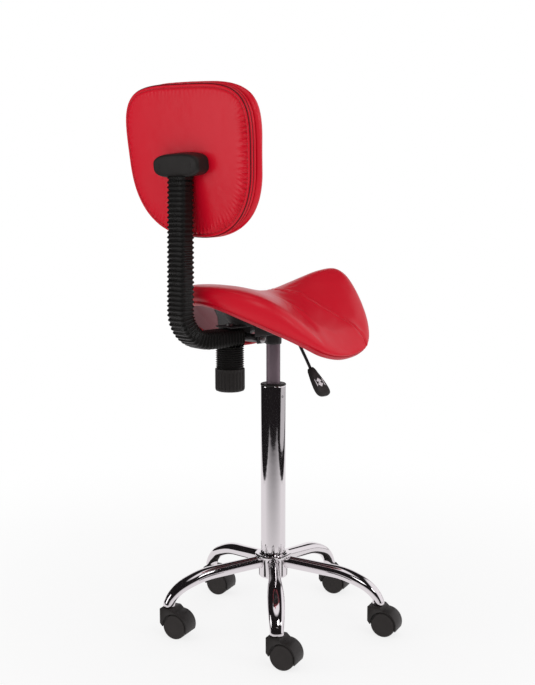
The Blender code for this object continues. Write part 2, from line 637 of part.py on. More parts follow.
def make_bar_bellows(stool, rubber):
    """Rubber sleeve over the bar, bored for it, with its front end notched round the tension screw."""
    across = Vector((1, 0, 0))
    path = bar_path(BELLOWS_FRONT, BELLOWS_TOP, 0.0020)
    outer = section_rings(path, across, lambda t: (BELLOWS_HALF_WIDTH, BELLOWS_HALF_DEPTH + 0.0022 * (1 - t)), 5.0, 16)
    inner = section_rings(path, across, lambda t: (BAR_HALF_WIDTH + 0.0008, 0.0068), 12.0, 16)
    sleeve = add_object("j_bar_bellows", loft(outer + inner[::-1], closed=True), rubber, stool, origin=PIVOT)
    notch = box((-0.0135, BELLOWS_FRONT - 0.0100, 0.5600), (0.0135, KNOB_Y + 0.0140, 0.6300))
    combine(sleeve, add_object("bellows_notch", notch, None, stool), "DIFFERENCE")


# ---------------------------------------------------------------- seat

def saddle_height(x, y):
    """Height of the saddle's upper surface: a raised front and rear, and sides that fall away."""
    ahead, aside = -y, math.hypot(x, 0.012) - 0.012
    crest = (0.6812 + 0.0385 * smoothstep(-0.035, 0.165, ahead) + 0.0200 * smoothstep(0.015, 0.155, -ahead)
             - 0.0110 * smoothstep(0.165, 0.215, ahead))
    fall = 0.050 + 0.105 * smoothstep(-0.16, 0.16, ahead)
    power = 2.1 - 0.95 * smoothstep(-0.12, 0.08, ahead)
    return crest - fall * (aside / 0.16) ** power


def seat_ring(fraction, lift, skirt=0.0):
    """One ring of the seat, `lift` above its top surface, hung lower at the rear corners by a share `skirt`."""
    ring = []
    for i in range(SEAT_SEGMENTS):
        x, y = superellipse(SEAT_HALF_WIDTH, SEAT_HALF_LENGTH, SEAT_SQUARENESS, 2 * math.pi * i / SEAT_SEGMENTS)
        heading = math.degrees(math.atan2(abs(x), -y))
        fullness = (1 + CORNER_BULGE * math.exp(-((heading - 47) / 14) ** 2)
                    - FRONT_TRIM * math.exp(-((heading - 19) / 10) ** 2))
        x, y = fraction * fullness * x, fraction * fullness * y
        hang = skirt * SKIRT_DEPTH * math.exp(-((heading - 135) / 27) ** 2)
        ring.append(Vector((x, y, saddle_height(x, y) + lift - hang)))
    return ring


def under_cushion(fraction):
    """Lift of the cushion's underside from its top, thinner towards the edge."""
    return EDGE_THINNING * smoothstep(0.55, 0.94, fraction) - CUSHION_THICKNESS


def seat_pole(lift):
    return [Vector((0, 0, saddle_height(0, 0) + lift))]


def make_seat_cushion(stool, vinyl):
    rim = [(0.975, -0.0050, 0.1), (1.0, -0.0140, 0.4), (0.998, -0.0230, 0.75), (0.975, -0.0310, 1.0)]
    rings = [seat_pole(0.0)] + [seat_ring(f, 0.0) for f in FRACTIONS] + [seat_ring(*row) for row in rim]
    rings += [seat_ring(f, under_cushion(f)) for f in FRACTIONS[::-1]] + [seat_pole(-CUSHION_THICKNESS)]
    add_object("seat_cushion", split_evenly(loft(rings)), vinyl, stool)


def pan_underside(ring):
    """The shell's underside, brought down to a flat pad over the seat plate."""
    found = []
    for point in ring:
        reach = math.hypot(point.x / SEAT_HALF_WIDTH, point.y / SEAT_HALF_LENGTH)
        pad = 1 - smoothstep(0.47, 0.56, reach)
        low = PLATE_TOP + GAP
        found.append(Vector((point.x, point.y, point.z + (low - point.z) * pad)))
    return found


def make_seat_pan(stool, plywood):
    upper = [seat_pole(-CUSHION_THICKNESS - GAP)] + [seat_ring(f, under_cushion(f) - GAP) for f in FRACTIONS]
    lower = [seat_ring(f, under_cushion(f) - GAP - PAN_THICKNESS) for f in FRACTIONS]
    lower = [pan_underside(ring) for ring in [seat_pole(0.0)] + lower]
    add_object("seat_pan", split_evenly(loft(upper + lower[::-1])), plywood, stool)


def make_dust_cover(stool, fabric):
    """Thin black cloth under the shell, open round the seat plate."""
    below = PAN_THICKNESS + 2 * GAP
    kept = [f for f in FRACTIONS if 0.6 < f < 0.9]
    upper = [seat_ring(f, under_cushion(f) - below) for f in kept]
    lower = [seat_ring(f, under_cushion(f) - below - 0.0012) for f in kept]
    add_object("seat_dust_cover", split_evenly(loft(upper + lower[::-1], closed=True)), fabric, stool)


# ---------------------------------------------------------------- backrest

def back_ring(scale, depth):
    """Outline of the backrest, drawn in by `scale`, at `depth` in front of the rear face."""
    ring = []
    for i in range(BACK_SEGMENTS):
        angle = 2 * math.pi * i / BACK_SEGMENTS
        upper = math.sin(angle) > 0
        x, z = superellipse(BACK_HALF_WIDTH, BACK_HALF_HEIGHT, 4.0 if upper else 2.5, angle)
        x *= 1 + BACK_TAPER * z / BACK_HALF_HEIGHT
        ring.append(Vector((x * scale, -depth, BACK_RAISE + z * scale)))
    return ring


def make_back_pads(back, vinyl, plywood):
    panel = [(0.60, 0.0), (0.93, 0.0), (0.965, 0.0015), (0.970, 0.0040), (0.960, PANEL_THICKNESS),
             (0.60, PANEL_THICKNESS)]
    add_object("back_panel", loft([back_ring(*s) for s in panel]), vinyl, back)
    start = PANEL_THICKNESS + GAP
    add_object("back_board", loft([back_ring(0.955, start), back_ring(0.955, start + BOARD_THICKNESS)]),
               plywood, back)
    start += BOARD_THICKNESS + GAP
    full = BACK_CUSHION_THICKNESS
    cushion = [(0.60, 0.0), (0.970, 0.0), (0.995, 0.0050), (1.0, 0.0120), (0.985, 0.0190), (0.93, 0.0245),
               (0.80, 0.0280), (0.60, full)]
    add_object("back_cushion", loft([back_ring(s, start + d) for s, d in cushion]), vinyl, back)


def make_back_bracket(back, black_steel):
    bracket = add_object("back_bracket", box((-0.0450, GAP, -0.0150), (0.0450, 0.0033, 0.0150)), black_steel, back)
    for side in (-1, 1):
        x = sorted((side * 0.0218, side * 0.0248))
        wing = box((x[0], 0.0023, -0.0140), (x[1], 0.0190, 0.0110))
        combine(bracket, add_object(f"bracket_wing_{side}", wing, None, back), "UNION")


def make_bracket_cover(back, plastic):
    """Rounded plastic shell over the bracket, open to the front and slotted below for the bar."""
    stations = [(0.0025, COVER_DEPTH - 0.0025), (0.0025, GAP), (0.0, GAP), (0.0, 0.0200), (0.0015, 0.0250),
                (0.0055, COVER_DEPTH)]
    rings = []
    for inset, depth in stations:
        ring = []
        for i in range(32):
            x, z = superellipse(COVER_HALF_WIDTH - inset, COVER_HALF_HEIGHT - inset, 3.4, 2 * math.pi * i / 32)
            ring.append(Vector((x, depth, z)))
        rings.append(ring)
    cover = add_object("bracket_cover", loft(rings), plastic, back)
    slot = box((-0.0225, 0.0060, -0.0300), (0.0225, 0.0216, -0.0100))
    combine(cover, add_object("bar_slot", slot, None, back), "DIFFERENCE")
    for side in (-1, 1):
        plug = turned([(0, COVER_DEPTH - 0.0015), (0.0050, COVER_DEPTH - 0.0015), (0.0050, COVER_DEPTH + 0.0006),
                       (0, COVER_DEPTH + 0.0006)], 16, "Y", (side * 0.0445, 0, 0))
        for vert in plug.verts:
            vert.co.z *= 1.5
        combine(cover, add_object(f"cover_plug_{side}", plug, None, back), "UNION")


def main():
    clear_scene()
    chrome = material("chrome", (0.80, 0.79, 0.80), 0.08, 1.0)
    steel = material("bright_steel", (0.55, 0.54, 0.56), 0.25, 1.0)
    black_steel = material("black_steel", (0.02, 0.02, 0.02), 0.45)
    plastic = material("black_plastic", (0.03, 0.03, 0.03), 0.45)
    rubber = material("black_rubber", (0.015, 0.015, 0.015), 0.60)
    vinyl = material("red_vinyl", (0.55, 0.010, 0.030), 0.38)
    plywood = material("plywood", (0.45, 0.30, 0.17), 0.70)
    fabric = material("black_cloth", (0.012, 0.012, 0.012), 0.90)
    stool = empty("stool", STAND)
    make_hub(stool, chrome)
    make_arms(stool, chrome)
    make_casters(stool, plastic, steel)
    make_column(stool, chrome, plastic, steel)
    make_gas_lift(stool, steel, black_steel, plastic)
    make_seat_plate(stool, black_steel)
    make_socket(stool, black_steel)
    make_height_lever(stool, steel, plastic)
    make_pivot_bolt(stool, steel)
    make_tension_knob(stool, plastic, rubber, steel)
    make_back_bar(stool, black_steel)
    make_bar_bellows(stool, rubber)
    make_seat_cushion(stool, vinyl)
    make_seat_pan(stool, plywood)
    make_dust_cover(stool, fabric)
    back = empty("backrest", BACK_MIDDLE, (-BACK_LEAN, 0, 0), stool)
    make_back_pads(back, vinyl, plywood)
    make_back_bracket(back, black_steel)
    make_bracket_cover(back, plastic)


main()
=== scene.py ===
"""The looks of a rolling saddle stool with a sprung backrest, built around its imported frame. Metres, +Z up."""

import json
import math

import bmesh
import bpy
import numpy as np
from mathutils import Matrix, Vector, noise


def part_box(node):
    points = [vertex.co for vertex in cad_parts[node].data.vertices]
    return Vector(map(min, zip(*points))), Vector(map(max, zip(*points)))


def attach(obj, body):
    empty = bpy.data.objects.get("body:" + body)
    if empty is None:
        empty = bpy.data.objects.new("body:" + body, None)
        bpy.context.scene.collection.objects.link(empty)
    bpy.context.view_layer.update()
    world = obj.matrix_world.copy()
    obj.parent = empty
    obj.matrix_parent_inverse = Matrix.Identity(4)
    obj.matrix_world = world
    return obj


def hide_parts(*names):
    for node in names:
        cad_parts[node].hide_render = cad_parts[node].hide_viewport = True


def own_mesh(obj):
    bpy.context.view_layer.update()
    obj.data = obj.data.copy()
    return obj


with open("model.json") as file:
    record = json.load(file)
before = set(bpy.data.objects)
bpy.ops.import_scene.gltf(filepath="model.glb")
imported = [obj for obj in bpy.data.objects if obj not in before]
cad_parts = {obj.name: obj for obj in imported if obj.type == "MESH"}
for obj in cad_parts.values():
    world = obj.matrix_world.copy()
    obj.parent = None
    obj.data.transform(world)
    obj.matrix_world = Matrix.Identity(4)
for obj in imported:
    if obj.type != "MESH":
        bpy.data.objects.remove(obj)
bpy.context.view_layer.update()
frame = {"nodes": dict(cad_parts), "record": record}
low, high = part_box("column_tube")
AXIS = np.array([(low.x + high.x) / 2, (low.y + high.y) / 2, 0.0])     # foot of the column; shapes are drawn from it
TAU = 2 * math.pi
X, Y, Z = np.eye(3)


# ---------------------------------------------------------------- mesh helpers

def smooth(start, end, value):
    """0 before start, 1 after end, and a soft step between. Start may be the larger."""
    t = np.clip((np.asarray(value, float) - start) / (end - start), 0, 1)
    return t * t * (3 - 2 * t)


def superellipse(half_x, half_y, power, angle):
    """Across and along of a rounded rectangle: power 2 is an ellipse, and a higher one is squarer."""
    c, s = np.cos(angle), np.sin(angle)
    return (half_x * np.sign(c) * np.abs(c) ** (2 / power), half_y * np.sign(s) * np.abs(s) ** (2 / power))


def unit(vector):
    return vector / np.linalg.norm(vector, axis=-1, keepdims=True)


def new_piece(name, verts, faces, material, body, slot, nodes=(), sharp=40, offset=AXIS):
    """A finished piece that rides on a body, in place of the CAD nodes named. Edges over `sharp` degrees stay crisp."""
    mesh = bpy.data.meshes.new(name)
    mesh.from_pydata((np.asarray(verts, float) + offset).tolist(), [], faces)
    made = bpy.data.objects.new(name, mesh)
    bpy.context.scene.collection.objects.link(made)
    bm = bmesh.new()
    bm.from_mesh(mesh)
    bmesh.ops.recalc_face_normals(bm, faces=bm.faces)
    bm.to_mesh(mesh)
    bm.free()
    mesh.shade_smooth()
    if sharp:
        mesh.set_sharp_from_angle(angle=math.radians(sharp))
    mesh.materials.append(material)
    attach(made, body)
    if nodes:
        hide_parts(*nodes)
    return made


def skin(rings, closed=False):
    """(points, faces) of a skin over rings of one count. Its ends get a fan to their middle, unless it is closed."""
    rings = np.asarray(rings, float)
    rows, count = rings.shape[:2]
    index = np.arange(rows * count).reshape(rows, count)
    near, far = (index, np.roll(index, -1, 0)) if closed else (index[:-1], index[1:])
    quads = np.stack([near, np.roll(near, -1, 1), np.roll(far, -1, 1), far], -1).reshape(-1, 4).tolist()
    points = rings.reshape(-1, 3)
    if not closed:
        for ring, flip in ((0, True), (rows - 1, False)):
            middle = len(points)
            points = np.vstack([points, rings[ring].mean(0)])
            for i in range(count):
                a, b = index[ring, i], index[ring, (i + 1) % count]
                quads.append([int(b), int(a), middle] if flip else [int(a), int(b), middle])
    return points, quads


def join_parts(parts):
    """One (points, faces) out of several."""
    points, faces, start = [], [], 0
    for these, those in parts:
        points.append(np.asarray(these, float))
        faces += [[i + start for i in face] for face in those]
        start += len(these)
    return np.vstack(points), faces


def rounded(points, radius, steps=4):
    """A polyline with each inner corner turned into a small curve."""
    out = [np.array(points[0], float)]
    for a, p, b in zip(points, points[1:], points[2:]):
        a, p, b = (np.array(q, float) for q in (a, p, b))
        to_a, to_b = np.linalg.norm(a - p), np.linalg.norm(b - p)
        reach = min(radius, 0.45 * to_a, 0.45 * to_b)
        start, end = p + (a - p) / to_a * reach, p + (b - p) / to_b * reach
        for t in np.linspace(0, 1, steps + 1):
            out.append((1 - t) ** 2 * start + 2 * t * (1 - t) * p + t * t * end)
    out.append(np.array(points[-1], float))
    return out


def lathe(profile, segments, axis="Z", centre=(0, 0, 0), wobble=None):
    """A turning of (radius, height) points. A profile that starts off the axis is closed into a loop."""
    profile = np.array([(max(r, 1e-5), h) for r, h in profile])
    turn = np.arange(segments) * TAU / segments
    radius, height = (column[:, None] * np.ones(segments) for column in profile.T)
    if wobble:
        radius = wobble(radius, height, turn)
    flat = [radius * np.cos(turn), radius * np.sin(turn), height]
    order = {"Z": (0, 1, 2), "X": (2, 0, 1), "Y": (1, 2, 0)}[axis]
    rings = np.stack([flat[i] for i in order], -1) + np.asarray(centre, float)
    return skin(rings, closed=profile[0][0] > 1e-4)


def sweep(path, sizes, across, power, segments):
    """Superelliptic sections along a flat path, whose plane has the normal `across`."""
    path = np.asarray(path, float)
    ahead = unit(np.gradient(path, axis=0))
    up = np.cross(ahead, across)
    angle = np.arange(segments) * TAU / segments
    rings = []
    for i, point in enumerate(path):
        wide, tall = sizes(i / (len(path) - 1))
        a, b = superellipse(wide, tall, power, angle)
        rings.append(point + a[:, None] * across + b[:, None] * up[i])
    return np.array(rings)


def spline(points, steps):
    """A Catmull-Rom curve through the points."""
    points = np.asarray(points, float)
    ends = np.vstack([2 * points[0] - points[1], points, 2 * points[-1] - points[-2]])
    found = []
    for p, q, r, s in zip(ends, ends[1:], ends[2:], ends[3:]):
        for t in np.arange(steps) / steps:
            found.append(0.5 * (2 * q + (r - p) * t + (2 * p - 5 * q + 4 * r - s) * t * t
                                + (3 * q - p - 3 * r + s) * t ** 3))
    return np.array(found + [points[-1]])


def rounded_box(low, high, radius):
    """(points, faces) of a box with bevelled edges."""
    bm = bmesh.new()
    bmesh.ops.create_cube(bm, size=1.0)
    low, high = np.array(low, float), np.array(high, float)
    for vert in bm.verts:
        vert.co = Vector((np.array(vert.co) + 0.5) * (high - low) + low)
    radius = min(radius, 0.45 * float((high - low).min()))
    bmesh.ops.bevel(bm, geom=bm.edges[:], offset=radius, segments=3, affect="EDGES", profile=0.5)
    bm.verts.index_update()
    points = np.array([v.co[:] for v in bm.verts])
    faces = [[v.index for v in f.verts] for f in bm.faces]
    bm.free()
    return points, faces


def tube(path, radius, segments=10):
    """A round tube along any path, open or closed at a repeated first point."""
    path = np.asarray(path, float)
    loop = np.linalg.norm(path[0] - path[-1]) < 1e-9
    if loop:
        path = path[:-1]
        ahead = unit(np.roll(path, -1, 0) - np.roll(path, 1, 0))
    else:
        ahead = unit(np.gradient(path, axis=0))
    side = np.cross(ahead[0], Z if abs(ahead[0][2]) < 0.9 else X)
    rings = []
    angle = np.arange(segments) * TAU / segments
    for point, forward in zip(path, ahead):
        side = unit(side - forward * (side @ forward))
        up = np.cross(forward, side)
        rings.append(point + radius * (np.cos(angle)[:, None] * side + np.sin(angle)[:, None] * up))
    return skin(rings, closed=loop)


def turned_about_z(points, angle):
    """The points turned anticlockwise, seen from above."""
    c, s = math.cos(angle), math.sin(angle)
    return points @ np.array([[c, s, 0], [-s, c, 0], [0, 0, 1]])


def ripple(points, scale, seed):
    """Smooth noise from -1 to 1 at each point."""
    shift = Vector((seed * 7.3, seed * 3.1, seed * 5.7))
    return np.array([noise.noise(Vector(p) * scale + shift) for p in points])


# ---------------------------------------------------------------- materials

class Tree:
    """Short calls that add and link the nodes of one material or world."""

    def __init__(self, owner):
        owner.use_nodes = True
        self.nodes, self.links = owner.node_tree.nodes, owner.node_tree.links

    def add(self, kind, values=(), **settings):
        """A node with its settings, and a number or a link for each input in `values`."""
        made = self.nodes.new("ShaderNode" + kind)
        for name, value in settings.items():
            setattr(made, name, value)
        for key, value in dict(values).items():
            self.feed(made.inputs[key], value)
        return made

    def feed(self, socket, value):
        """Links a socket, or sets its number or colour."""
        if isinstance(value, bpy.types.NodeSocket):
            self.links.new(value, socket)
        else:
            socket.default_value = value

    def noise(self, where, scale, detail):
        return self.add("TexNoise", {"Scale": scale, "Detail": detail, "Vector": where}).outputs["Fac"]

    def ramp(self, value, start, end, low=0.0, high=1.0, kind="SMOOTHSTEP"):
        spans = {"From Min": start, "From Max": end, "To Min": low, "To Max": high, "Value": value}
        return self.add("MapRange", spans, interpolation_type=kind).outputs["Result"]

    def dot(self, where, direction):
        return self.add("VectorMath", {0: where, 1: direction}, operation="DOT_PRODUCT").outputs["Value"]

    def math(self, operation, a, b=0.0):
        return self.add("Math", {0: a, 1: b}, operation=operation).outputs[0]

    def colours(self, factor, *pair):
        """The first colour at 0 and the second at 1."""
        first, second = ((*c, 1) if isinstance(c, tuple) else c for c in pair)
        return self.add("Mix", {0: factor, 6: first, 7: second}, data_type="RGBA").outputs[2]


def surface(name, base, second, roughness, metallic=0.0, mottle=8.0, grain=(), coat=0.0, coat_rough=0.2,
            specular=0.5, rough_scale=20.0, sheen=0.0):
    """A Principled material with mottled colour, uneven gloss and layers of (kind, scale, depth) grain."""
    made = bpy.data.materials.new(name)
    tree = Tree(made)
    shader = tree.nodes["Principled BSDF"].inputs
    where = tree.add("TexCoord").outputs["Object"]
    values = {"Metallic": metallic, "Specular IOR Level": specular, "Coat Weight": coat, "Coat Roughness": coat_rough,
              "Sheen Weight": sheen, "Base Color": tree.colours(tree.noise(where, mottle, 4.0), base, second),
              "Roughness": tree.ramp(tree.noise(where, rough_scale, 3.0), 0.0, 1.0, *roughness, "LINEAR")}
    for kind, scale, depth in grain:
        if kind == "cells":
            cells = {"Scale": scale, "Smoothness": 0.5, "Vector": where}
            height = tree.add("TexVoronoi", cells, feature="SMOOTH_F1").outputs["Distance"]
        else:
            height = tree.noise(where, scale, 2.0)
        layer = {"Strength": 1.0, "Distance": depth, "Height": height}
        if "Normal" in values:
            layer["Normal"] = values["Normal"]
        values["Normal"] = tree.add("Bump", layer).outputs["Normal"]
    for key, value in values.items():
        tree.feed(shader[key], value)
    return made


RED, DEEP_RED = (0.63, 0.0025, 0.019), (0.54, 0.0012, 0.013)
VINYL_GRAIN = (("cells", 950.0, 0.00006), ("noise", 55.0, 0.0004), ("noise", 320.0, 0.00005))
VINYL = surface("red_vinyl", RED, DEEP_RED, (0.28, 0.36), mottle=5.0, grain=VINYL_GRAIN, specular=0.3)
PIPING = surface("red_vinyl_piping", (0.5, 0.003, 0.018), (0.4, 0.0015, 0.012), (0.32, 0.42), mottle=9.0,
                 grain=(("cells", 1200.0, 0.00004),))
THREAD = surface("red_thread", (0.36, 0.002, 0.012), (0.25, 0.001, 0.008), (0.6, 0.75), mottle=300.0,
                 grain=(("noise", 2500.0, 0.00008),), sheen=0.3)
# The red vinyl where it turns under the seat, painted darker and greyer: painted shade with a painted haze of
# reflection, not a colour of its own.
UNDERSIDE_VINYL_PAINTED_SHADE = surface("red_vinyl_turned_painted_shade", (0.2, 0.04, 0.052), (0.13, 0.026, 0.034), (0.45, 0.6), mottle=14.0,
                       grain=VINYL_GRAIN)
SEAM_SHADE = surface("seam_shade", (0.1, 0.0008, 0.004), (0.06, 0.0005, 0.002), (0.7, 0.8), mottle=60.0)
CHROME = surface("polished_chrome", (0.83, 0.8, 0.815), (0.76, 0.73, 0.75), (0.035, 0.075), 1.0, 3.0,
                 (("noise", 38.0, 0.00012),), rough_scale=9.0)
GREY_STEEL = surface("satin_cylinder", (0.27, 0.2, 0.235), (0.215, 0.16, 0.19), (0.3, 0.42), 0.45, 12.0,
                     (("noise", 900.0, 0.00001),))
ZINC = surface("bright_steel", (0.6, 0.59, 0.6), (0.48, 0.47, 0.47), (0.22, 0.38), 1.0, 40.0,
               (("noise", 700.0, 0.00003),))
BLACK_STEEL = surface("black_coat", (0.016, 0.015, 0.016), (0.028, 0.026, 0.027), (0.34, 0.5), 0.0, 25.0,
                      (("noise", 900.0, 0.00005), ("noise", 140.0, 0.00008)), coat=0.2, coat_rough=0.3)
PLASTIC = surface("black_plastic", (0.015, 0.0128, 0.012), (0.022, 0.019, 0.018), (0.4, 0.54), 0.0, 30.0,
                  (("cells", 1500.0, 0.00005), ("noise", 300.0, 0.00003)), specular=0.3)
WHEEL = surface("black_wheel", (0.016, 0.0132, 0.0122), (0.024, 0.0198, 0.0184), (0.48, 0.62), 0.0, 45.0,
                (("cells", 1800.0, 0.00006), ("noise", 180.0, 0.00006)), specular=0.3)
RUBBER = surface("black_rubber", (0.0065, 0.0061, 0.0058), (0.0115, 0.0107, 0.0102), (0.22, 0.34), 0.0, 50.0,
                 (("noise", 600.0, 0.00003),), coat=0.05, coat_rough=0.12, specular=0.18)
CLOTH = surface("black_cloth", (0.01, 0.01, 0.01), (0.022, 0.02, 0.021), (0.85, 0.95), 0.0, 120.0,
                (("noise", 1500.0, 0.0002), ("cells", 500.0, 0.00015)), specular=0.2, sheen=0.2)
PLYWOOD = surface("plywood", (0.45, 0.3, 0.17), (0.34, 0.21, 0.11), (0.6, 0.8), 0.0, 25.0,
                  (("noise", 200.0, 0.0002),))
WHITE_MARK = surface("white_print", (0.78, 0.74, 0.76), (0.65, 0.6, 0.63), (0.5, 0.6), 0.0, 200.0)


# ---------------------------------------------------------------- base

ARM_ANGLES = [math.radians(138.5 + 72 * i) for i in range(5)]
HUB_RADIUS = 0.0292
STEM_REACH = 0.2165                              # from the column's axis to each caster's
ARM_END_Z = 0.062                                # open lower end of an arm


def arm_sizes(t):
    """Half width and half height of an arm, from the hub at 0 to its end at 1."""
    spread = smooth(0.0, 0.5, t) * (1 - 0.75 * smooth(0.55, 1.0, t))
    return 0.0118 + 0.0048 * spread, 0.0124 - 0.0026 * smooth(0.3, 1.0, t)


def make_arms():
    """Five pressed tube arms that bend down to an open end, each with its stem socket and a weld bead at the hub."""
    route = [(HUB_RADIUS - 0.002, 0.1296), (0.094, 0.1225), (0.141, 0.117), (0.173, 0.1065), (0.196, 0.0945),
             (0.213, 0.0785), (0.2225, ARM_END_Z)]
    path = spline([(r, 0, z) for r, z in route], 10)
    outer = sweep(path, arm_sizes, Y, 2.15, 48)
    outer[-1, :, 2] = ARM_END_Z
    outer[-2, :, 2] = np.maximum(outer[-2, :, 2], ARM_END_Z + 0.0012)
    centre = outer[-1].mean(0)
    lip = [centre + (outer[-1] - centre) * s + [0, 0, dz]
           for s, dz in ((1.0, 0.0), (0.985, -0.0008), (0.93, -0.0011), (0.875, -0.0006), (0.86, 0.0004))]
    inner = [centre + (ring - ring.mean(0)) * 0.86 + (ring.mean(0) - centre) for ring in outer[-3:-16:-2]]
    arm = skin(np.concatenate([outer[:-1], lip, inner]))
    socket = lathe(rounded([(0.006, 0.0612), (0.006, 0.0775), (0.0096, 0.0775), (0.0096, 0.0612)], 0.0006), 32,
                   centre=(STEM_REACH, 0, 0))
    round_arm = np.arange(49) * TAU / 48
    bead = np.stack([HUB_RADIUS + 0.0004 + 0 * round_arm, 0.0122 * np.cos(round_arm),
                     0.1292 + 0.0126 * np.sin(round_arm)], -1)
    points, faces = join_parts([arm, socket, tube(bead, 0.0013, 8)])
    for number, turn in enumerate(ARM_ANGLES, 1):
        new_piece(f"arm_{number}", turned_about_z(points, turn), faces, CHROME, "base", "chrome",
                  [f"base_arm_{number}"])


def make_hub():
    """Turned sleeve with a rolled bead round its top."""
    profile = rounded([(0.0254, 0.099), (0.0254, 0.1475), (0.0262, 0.1478), (0.03, 0.1466), (0.0352, 0.1462),
                       (0.0372, 0.1445), (0.0372, 0.141), (0.0352, 0.1392), (0.0305, 0.1388), (HUB_RADIUS, 0.137),
                       (HUB_RADIUS, 0.101), (0.028, 0.0985), (0.0262, 0.0985)], 0.0014)
    new_piece("hub", *lathe(profile, 96), CHROME, "base", "chrome", ["base_hub"])


def make_column():
    """Chromed tube, slit and pressed in above the hub, with the plastic bush at its mouth and one small screw."""
    foot, top, slit_count = 0.1045, 0.4925, 12
    heights = [foot, 0.144, *np.linspace(0.1465, 0.168, 14), 0.175, *np.linspace(0.2, top - 0.0035, 8)]
    profile = [(0.0232, foot)] + [(0.025, h) for h in heights]
    profile += [(0.025, top - 0.0022), (0.0248, top - 0.0008), (0.0244, top), (0.0238, top), (0.0234, top - 0.0006),
                (0.0233, top - 0.02)]

    def slits(radius, height, turn):
        zone = smooth(0.1655, 0.16, height)
        from_slit = np.abs((turn / TAU * slit_count) % 1 - 0.5) * TAU / slit_count
        cut = np.exp(-(from_slit / (0.03 + 0.05 * smooth(0.16, 0.146, height))) ** 2)
        pressed = 0.0011 * smooth(0.164, 0.148, height)
        return np.where(radius > 0.0249, radius - zone * cut * 0.0022 - pressed, radius)

    new_piece("column", *lathe(profile, 240, wobble=slits), CHROME, "base", "chrome", ["column_tube"], 50)
    collar = rounded([(0.0144, 0.47), (0.0144, 0.4958), (0.0152, 0.4966), (0.024, 0.4968), (0.0257, 0.4955),
                      (0.0257, 0.4935), (0.0249, 0.4926), (0.0232, 0.4926), (0.0232, 0.47)], 0.0009)
    new_piece("column_collar", *lathe(collar, 72), PLASTIC, "base", "black_plastic", ["column_bush"])
    turn = math.radians(-176)
    head = lathe(rounded([(0.0, 0.0243), (0.0009, 0.0243), (0.0012, 0.0251), (0.0019, 0.0254), (0.0024, 0.025),
                          (0.0024, 0.0238), (0.0, 0.0238)], 0.0003), 24, "X", (0, 0, 0.472))
    new_piece("column_screw_head", turned_about_z(head[0], turn), head[1], BLACK_STEEL, "base", "bright_steel",
              ["column_screw"])


# ---------------------------------------------------------------- casters

TRAIL_ANGLE = math.radians(201.0)                # all five wheels trail this way
TRAIL = 0.018                                    # from a caster's axis to its axle
WHEEL_RADIUS = 0.025
HOOD_RADIUS = 0.0284
WALL = 0.0026                                    # thickness of the hood's skirt


def hood_side():
    """Side outline of the hood, closed, as (along the trail, up)."""
    centre = np.array([TRAIL, WHEEL_RADIUS])

    def part_turn(radius, start, end, count):
        turn = np.radians(np.linspace(start, end, count))
        return [centre + radius * np.array([math.cos(a), math.sin(a)]) for a in turn]

    arc = part_turn(HOOD_RADIUS, 88, -22, 30)
    inner = part_turn(HOOD_RADIUS - WALL, -19, 176, 54)
    head = rounded([(-0.0085, 0.0225), (-0.014, 0.029), (-0.014, 0.0585), (-0.012, 0.0598), (0.012, 0.0598),
                    arc[0]], 0.0016, 5)
    return np.array([*head, *arc[1:], *inner])


def make_hood_mesh():
    """Half shell over both wheels: a rim along the outline, and a web between the wheels."""
    outline = hood_side()
    half = 0.0195
    edges = ((-half, 0.0006), (-half + 0.0003, 0.0002), (-half + 0.0009, 0.0), (half - 0.0009, 0.0),
             (half - 0.0003, 0.0002), (half, 0.0006))
    forward = np.roll(outline, -1, 0) - np.roll(outline, 1, 0)
    inward = unit(np.stack([-forward[:, 1], forward[:, 0]], -1))
    if np.sum((outline[:, 0] - np.roll(outline[:, 0], 1)) * (outline[:, 1] + np.roll(outline[:, 1], 1))) > 0:
        inward = -inward
    bm = bmesh.new()
    rows = []
    for side, inset in edges:
        rows.append([bm.verts.new((x, side, z)) for x, z in outline + inward * inset])
    count = len(outline)
    for low_row, high_row in zip(rows, rows[1:]):
        for i in range(count):
            j = (i + 1) % count
            bm.faces.new((low_row[i], low_row[j], high_row[j], high_row[i]))
    bm.faces.new(rows[0][::-1])
    bm.faces.new(rows[-1])
    bmesh.ops.triangulate(bm, faces=[f for f in bm.faces if len(f.verts) > 4])
    bm.verts.index_update()
    shell = (np.array([v.co[:] for v in bm.verts]), [[v.index for v in f.verts] for f in bm.faces])
    bm.free()
    web_ring = [(-0.012, 0.03), (-0.013, 0.055), (TRAIL, 0.055), (0.0415, 0.0365), (0.0432, 0.0235),
                (0.0255, 0.015), (0.006, 0.017)]
    web_ring = np.array(rounded([*web_ring, web_ring[0]], 0.004))[:-1]
    web = skin([np.insert(web_ring, 1, y, axis=1) for y in (-0.0036, 0.0036)])
    boss = lathe(rounded([(0.0, -0.0043), (0.0105, -0.0043), (0.0105, 0.0043), (0.0, 0.0043)], 0.0008), 32, "Y",
                 (TRAIL, 0, WHEEL_RADIUS))
    return join_parts([shell, web, boss])


def wheel_part(side):
    """One wheel of a pair, turned on Y: back of the disc, tread, and smooth outer face."""
    inner, outer, r = 0.0046, 0.0192, WHEEL_RADIUS
    tread = [(r - 0.0025, inner), (r - 0.0007, inner + 0.0004), (r, inner + 0.0016), (r, inner + 0.006),
             (r, outer - 0.0034), (r - 0.0003, outer - 0.0016), (r - 0.0013, outer - 0.0005)]
    disc = [(r - 0.0025, outer - 0.0001), (r - 0.0036, outer + 0.0001), (r - 0.0047, outer - 0.0002),
            (r - 0.0068, outer - 0.0004), (0.012, outer - 0.0002), (0.006, outer), (0, outer)]
    back = [(0, inner), (0.01, inner), (0.012, inner + 0.001), (r - 0.005, inner + 0.001)]
    return lathe([(radius, side * h) for radius, h in back + tread + disc], 72, "Y")


